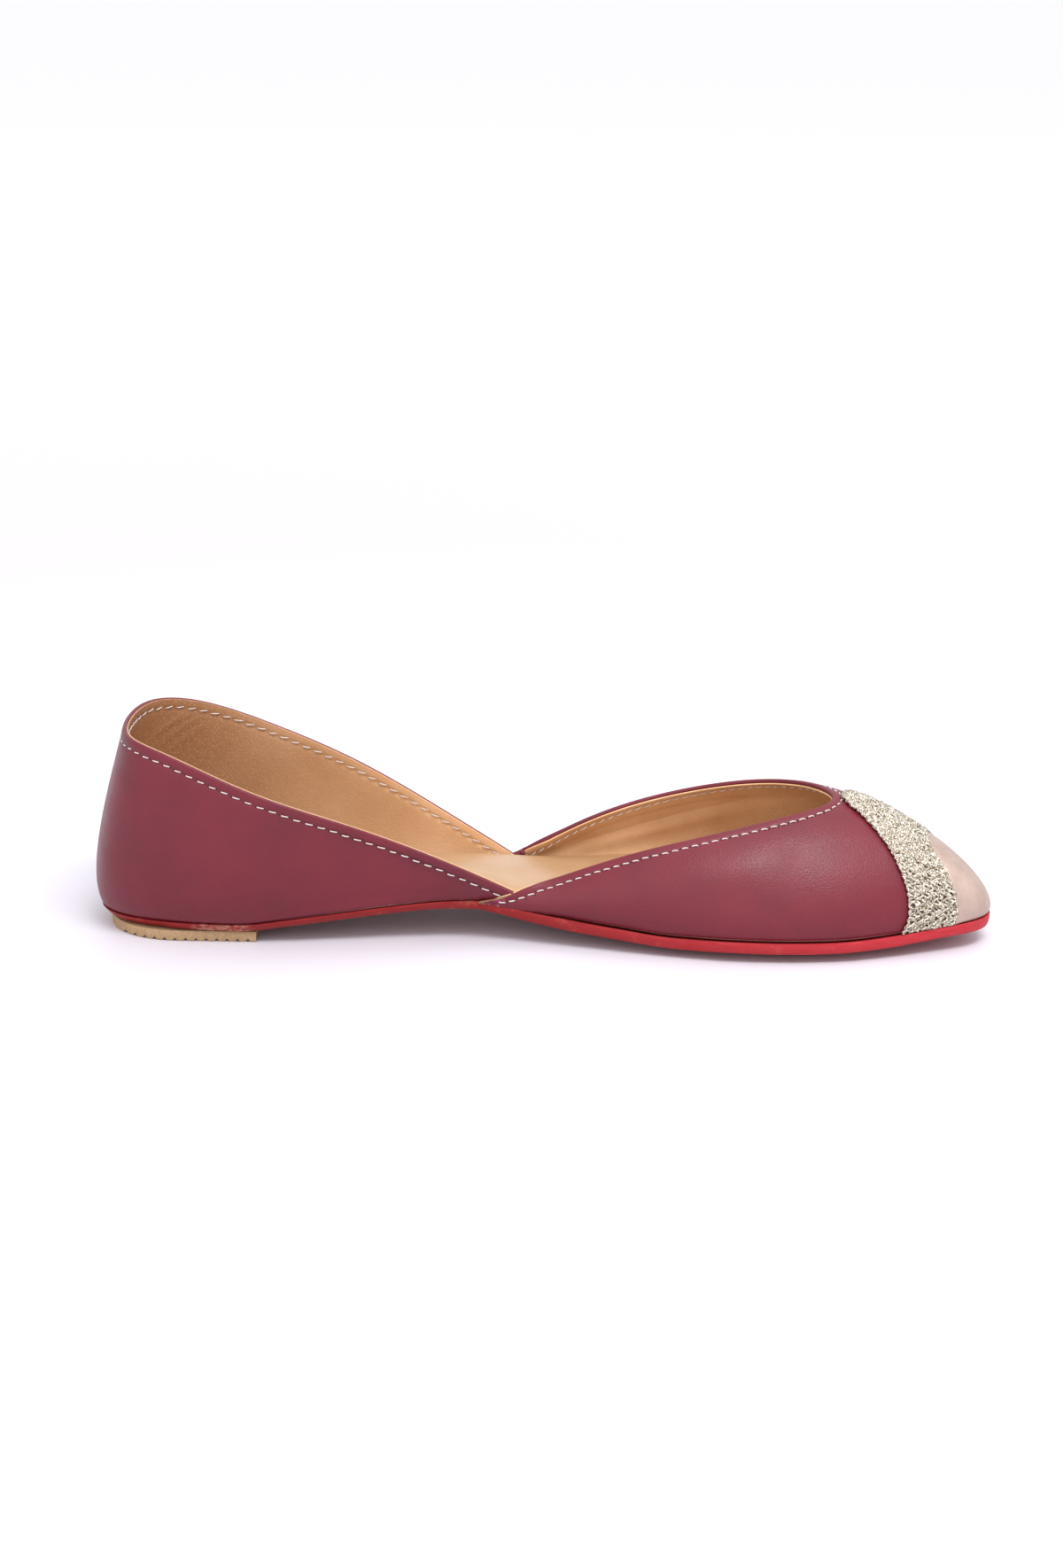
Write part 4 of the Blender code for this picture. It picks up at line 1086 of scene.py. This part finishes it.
def strand(centre_share, phase, pitch_mm, swing, radius, seed):
    """One wavy tube along the band: side swing is a sine, height a cosine of twice the rate."""
    way = np.linspace(-0.995, 0.995, STRAND_STATIONS)
    middle, _ = band_points(way, np.full(way.shape, centre_share), np.zeros(way.shape))
    run = lengths(middle, 0)
    chance = np.random.default_rng(seed)
    slow = [np.interp(run, np.linspace(0, run[-1], 60), chance.normal(0, 1, 60)) for _ in range(3)]
    angle = 2 * np.pi * run / (pitch_mm * MM) + phase + 0.55 * slow[0]
    share = centre_share + swing * np.sin(angle) * (1 + 0.2 * slow[1])
    height = (0.85 + 0.24 * np.cos(2 * angle + phase) + 0.07 * slow[2]) * MM
    centre, normal = band_points(way, np.clip(share, 0.012, 0.988), height)
    ahead_dir = unit(np.gradient(centre, axis=0))
    beside = unit(np.cross(normal, ahead_dir))
    section = circle(turns(STRAND_SIDES), beside, np.cross(ahead_dir, beside))
    return centre[:, None] + section * radius * (1 + 0.12 * slow[1])[:, None, None]


strands = []
for k in range(RIBS_ACROSS):
    middle_share = (k + 0.5) / RIBS_ACROSS
    for twin, half_turn in enumerate((0.0, np.pi)):
        phase = half_turn + 0.9 * k
        strands.append(strand(middle_share, phase, STRAND_PITCH, 0.068, 0.42 * MM, 20 + 2 * k + twin))
    gap_share = middle_share - 0.083 if k else 0.02
    strands.append(strand(gap_share, 1.7 * k, FILLER_PITCH, 0.018, 0.30 * MM, 60 + k))
strands.append(strand(0.975, 0.4, FILLER_PITCH, 0.012, 0.32 * MM, 80))
strand_quads = repeat_quads(grid_quads(STRAND_STATIONS, STRAND_SIDES, close_columns=True), len(strands))
make_piece("braid_strands", np.stack(strands), strand_quads, gold, sharp=0)

# %% [markdown]
# ## Toe cap
# The cap is thin leather with a rose gold foil pressed on it. The foil is pearly rather than mirror
# bright, and it keeps faint streaks from the brushing under it. Its back edge goes under the braid.


# %% Cap
def foil_material():
    """Foiled leather: half metal, fine streaks across the toe, and soft clouds of pink and sand."""
    material, tree, shader, place = start_material(
        "rose_gold_foiled_leather", Metallic=0.45, Roughness=0.43
    )
    clouds = spread(tree, noise(tree, place, 7.0, 4.0), 0.36, 0.66)
    colour = mix(tree, clouds, srgb("#B49E93"), srgb("#A68F85"))
    stretched = add(tree, "Mapping", {"Vector": place, "Scale": (1.0, 0.25, 0.25)}).outputs["Vector"]
    streaks = noise(tree, stretched, 0.35, 5.0, 0.6)
    colour = mix(tree, spread(tree, streaks, 0.5, 0.72, 0.0, 0.5), colour, srgb("#BDAA9A"))
    dress(tree, shader, colour, bump(tree, streaks, 0.05))
    return material


cap_way = np.linspace(-1, 1, 150)[:, None] * 0.985
cap_share = np.linspace(0, 1, 60)[None, :]
cap_t = HALF + (HALF - at_foot_x(BRAID_FRONT_FOOT)) * cap_way + 0 * cap_share
cap_top = edge_high(BRAID_FRONT, np.abs(cap_way)) + 0.01
cap_v = np.maximum(cap_top, 2 * FOOT_HEM) * (1 - cap_share) + 0.25 * FOOT_HEM * cap_share
cap_grid = closed_patch(cap_t, cap_v, 0.1 * MM, GAP + CAP_THICKNESS)
ring_piece("toe_cap_leather", cap_grid, foil_material(), ["toe_cap"])

# %% [markdown]
# ## Floor, light and camera
# The shoe stands on white paper in a bright room. The paper's colour holds painted light: it is darker and
# faintly lilac near the shoe, where its shadow falls, and paler away from it, as paper lit by lamps of its
# own would be. Four soft lamps shape it: a key high in front on the right, a wide fill low in front on the
# left, an even one overhead, and a weak one beside the toe. The camera stands 17.5 degrees above the floor
# on the medial side, with a long lens.

# %% Studio
floor_mesh = bpy.data.meshes.new("paper_floor")
FLOOR_REACH = 40.0
corners = [(FLOOR_REACH * x, FLOOR_REACH * y, 0) for x, y in ((-1, -1), (1, -1), (1, 1), (-1, 1))]
floor_mesh.from_pydata(corners, [], [(0, 1, 2, 3)])
floor = new_object("paper_floor", floor_mesh)
paper, paper_tree, paper_shader, paper_place = start_material(
    "white_paper_sweep", Roughness=0.45, Specular_IOR_Level=0.25
)
from_shoe = add(paper_tree, "VectorMath", {0: paper_place}, operation="LENGTH").outputs["Value"]
# painted light: the paper is darker and faintly lilac near the shoe and paler far away, as if lit by lamps of
# its own
painted_far_light = spread(paper_tree, from_shoe, 0.5, 1.6)
paper_tone = mix(paper_tree, painted_far_light, srgb("#D2CFD8"), srgb("#FDFCFF"))
paper_tree.links.new(paper_tone, paper_shader.inputs["Base Color"])
floor_mesh.materials.append(paper)
floor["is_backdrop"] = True


def softbox(name, place, target, size, power, tone="#FFFFFF"):
    """An area light of a given size that faces a target."""
    lamp = bpy.data.lights.new(name, "AREA")
    lamp.shape, lamp.size, lamp.size_y = "RECTANGLE", size[0], size[1]
    lamp.energy, lamp.color = power, srgb(tone)[:3]
    holder = new_object(name, lamp)
    holder.location = place
    holder.rotation_euler = (Vector(place) - Vector(target)).to_track_quat("Z", "Y").to_euler()


softbox("high_key", (0.30, -0.55, 1.00), (0.03, 0.0, 0.03), (0.6, 0.3), 9.5)
softbox("overhead", (0.10, 0.15, 1.10), (0.0, 0.0, 0.0), (1.3, 1.1), 4.0)
softbox("front_fill", (-0.55, -1.10, 0.65), (0.0, 0.0, 0.03), (2.2, 1.3), 8.5, "#FFF8F4")
softbox("toe_side", (1.05, 0.10, 0.70), (0.05, 0.0, 0.03), (0.7, 0.7), 1.5)
world = bpy.data.worlds.new("studio")
world.use_nodes = True
sky = world.node_tree.nodes["Background"].inputs
sky["Color"].default_value, sky["Strength"].default_value = srgb("#FDFDFF"), 1.02
bpy.context.scene.world = world
bpy.context.scene.view_settings.view_transform = "Standard"

CAMERA_AWAY, CAMERA_HIGH, CAMERA_ROUND, CAMERA_ROLL = 0.850, 17.5, 1.5, 0.4
FOCAL_PX, PHOTO = 3425.5, (1200, 1770)
MIDDLE_PX = (612, 925)
eye = bpy.data.cameras.new("photo_view")
eye.sensor_width = 36.0
eye.lens = FOCAL_PX * eye.sensor_width / PHOTO[1]
eye.shift_x = (PHOTO[0] / 2 - MIDDLE_PX[0]) / PHOTO[1]
eye.shift_y = (MIDDLE_PX[1] - PHOTO[1] / 2) / PHOTO[1]
camera = new_object("photo_view", eye)
high, round_ = math.radians(CAMERA_HIGH), math.radians(CAMERA_ROUND)
aim = np.array([0.125, 0.0, 0.030]) + MOVE
back = np.array([math.sin(round_) * math.cos(high), -math.cos(round_) * math.cos(high), math.sin(high)])
camera.location = aim + CAMERA_AWAY * back
turned = Vector(back.tolist()).to_track_quat("Z", "Y").to_matrix()
roll = math.radians(CAMERA_ROLL)
right = turned.col[0] * math.cos(roll) + turned.col[1] * math.sin(roll)
upward = turned.col[1] * math.cos(roll) - turned.col[0] * math.sin(roll)
turned.col[0], turned.col[1] = right, upward
camera.rotation_euler = turned.to_euler()
bpy.context.scene.camera = camera
print("camera at", [round(c, 3) for c in camera.location], "lens", round(eye.lens, 2))

# %% [markdown]
# ## Size and finish
# The visual model's box is set against the CAD model's box, and the difference is printed.
# The visual model has to stay as large as the CAD model.

# %% Print the sizes
bpy.context.view_layer.update()
VISUAL_BOX = [list(corner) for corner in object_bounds()]
grown = (np.array(VISUAL_BOX) - np.array(CAD_BOX)) / MM
print("visual box against CAD box, mm:", grown.round(2).tolist())
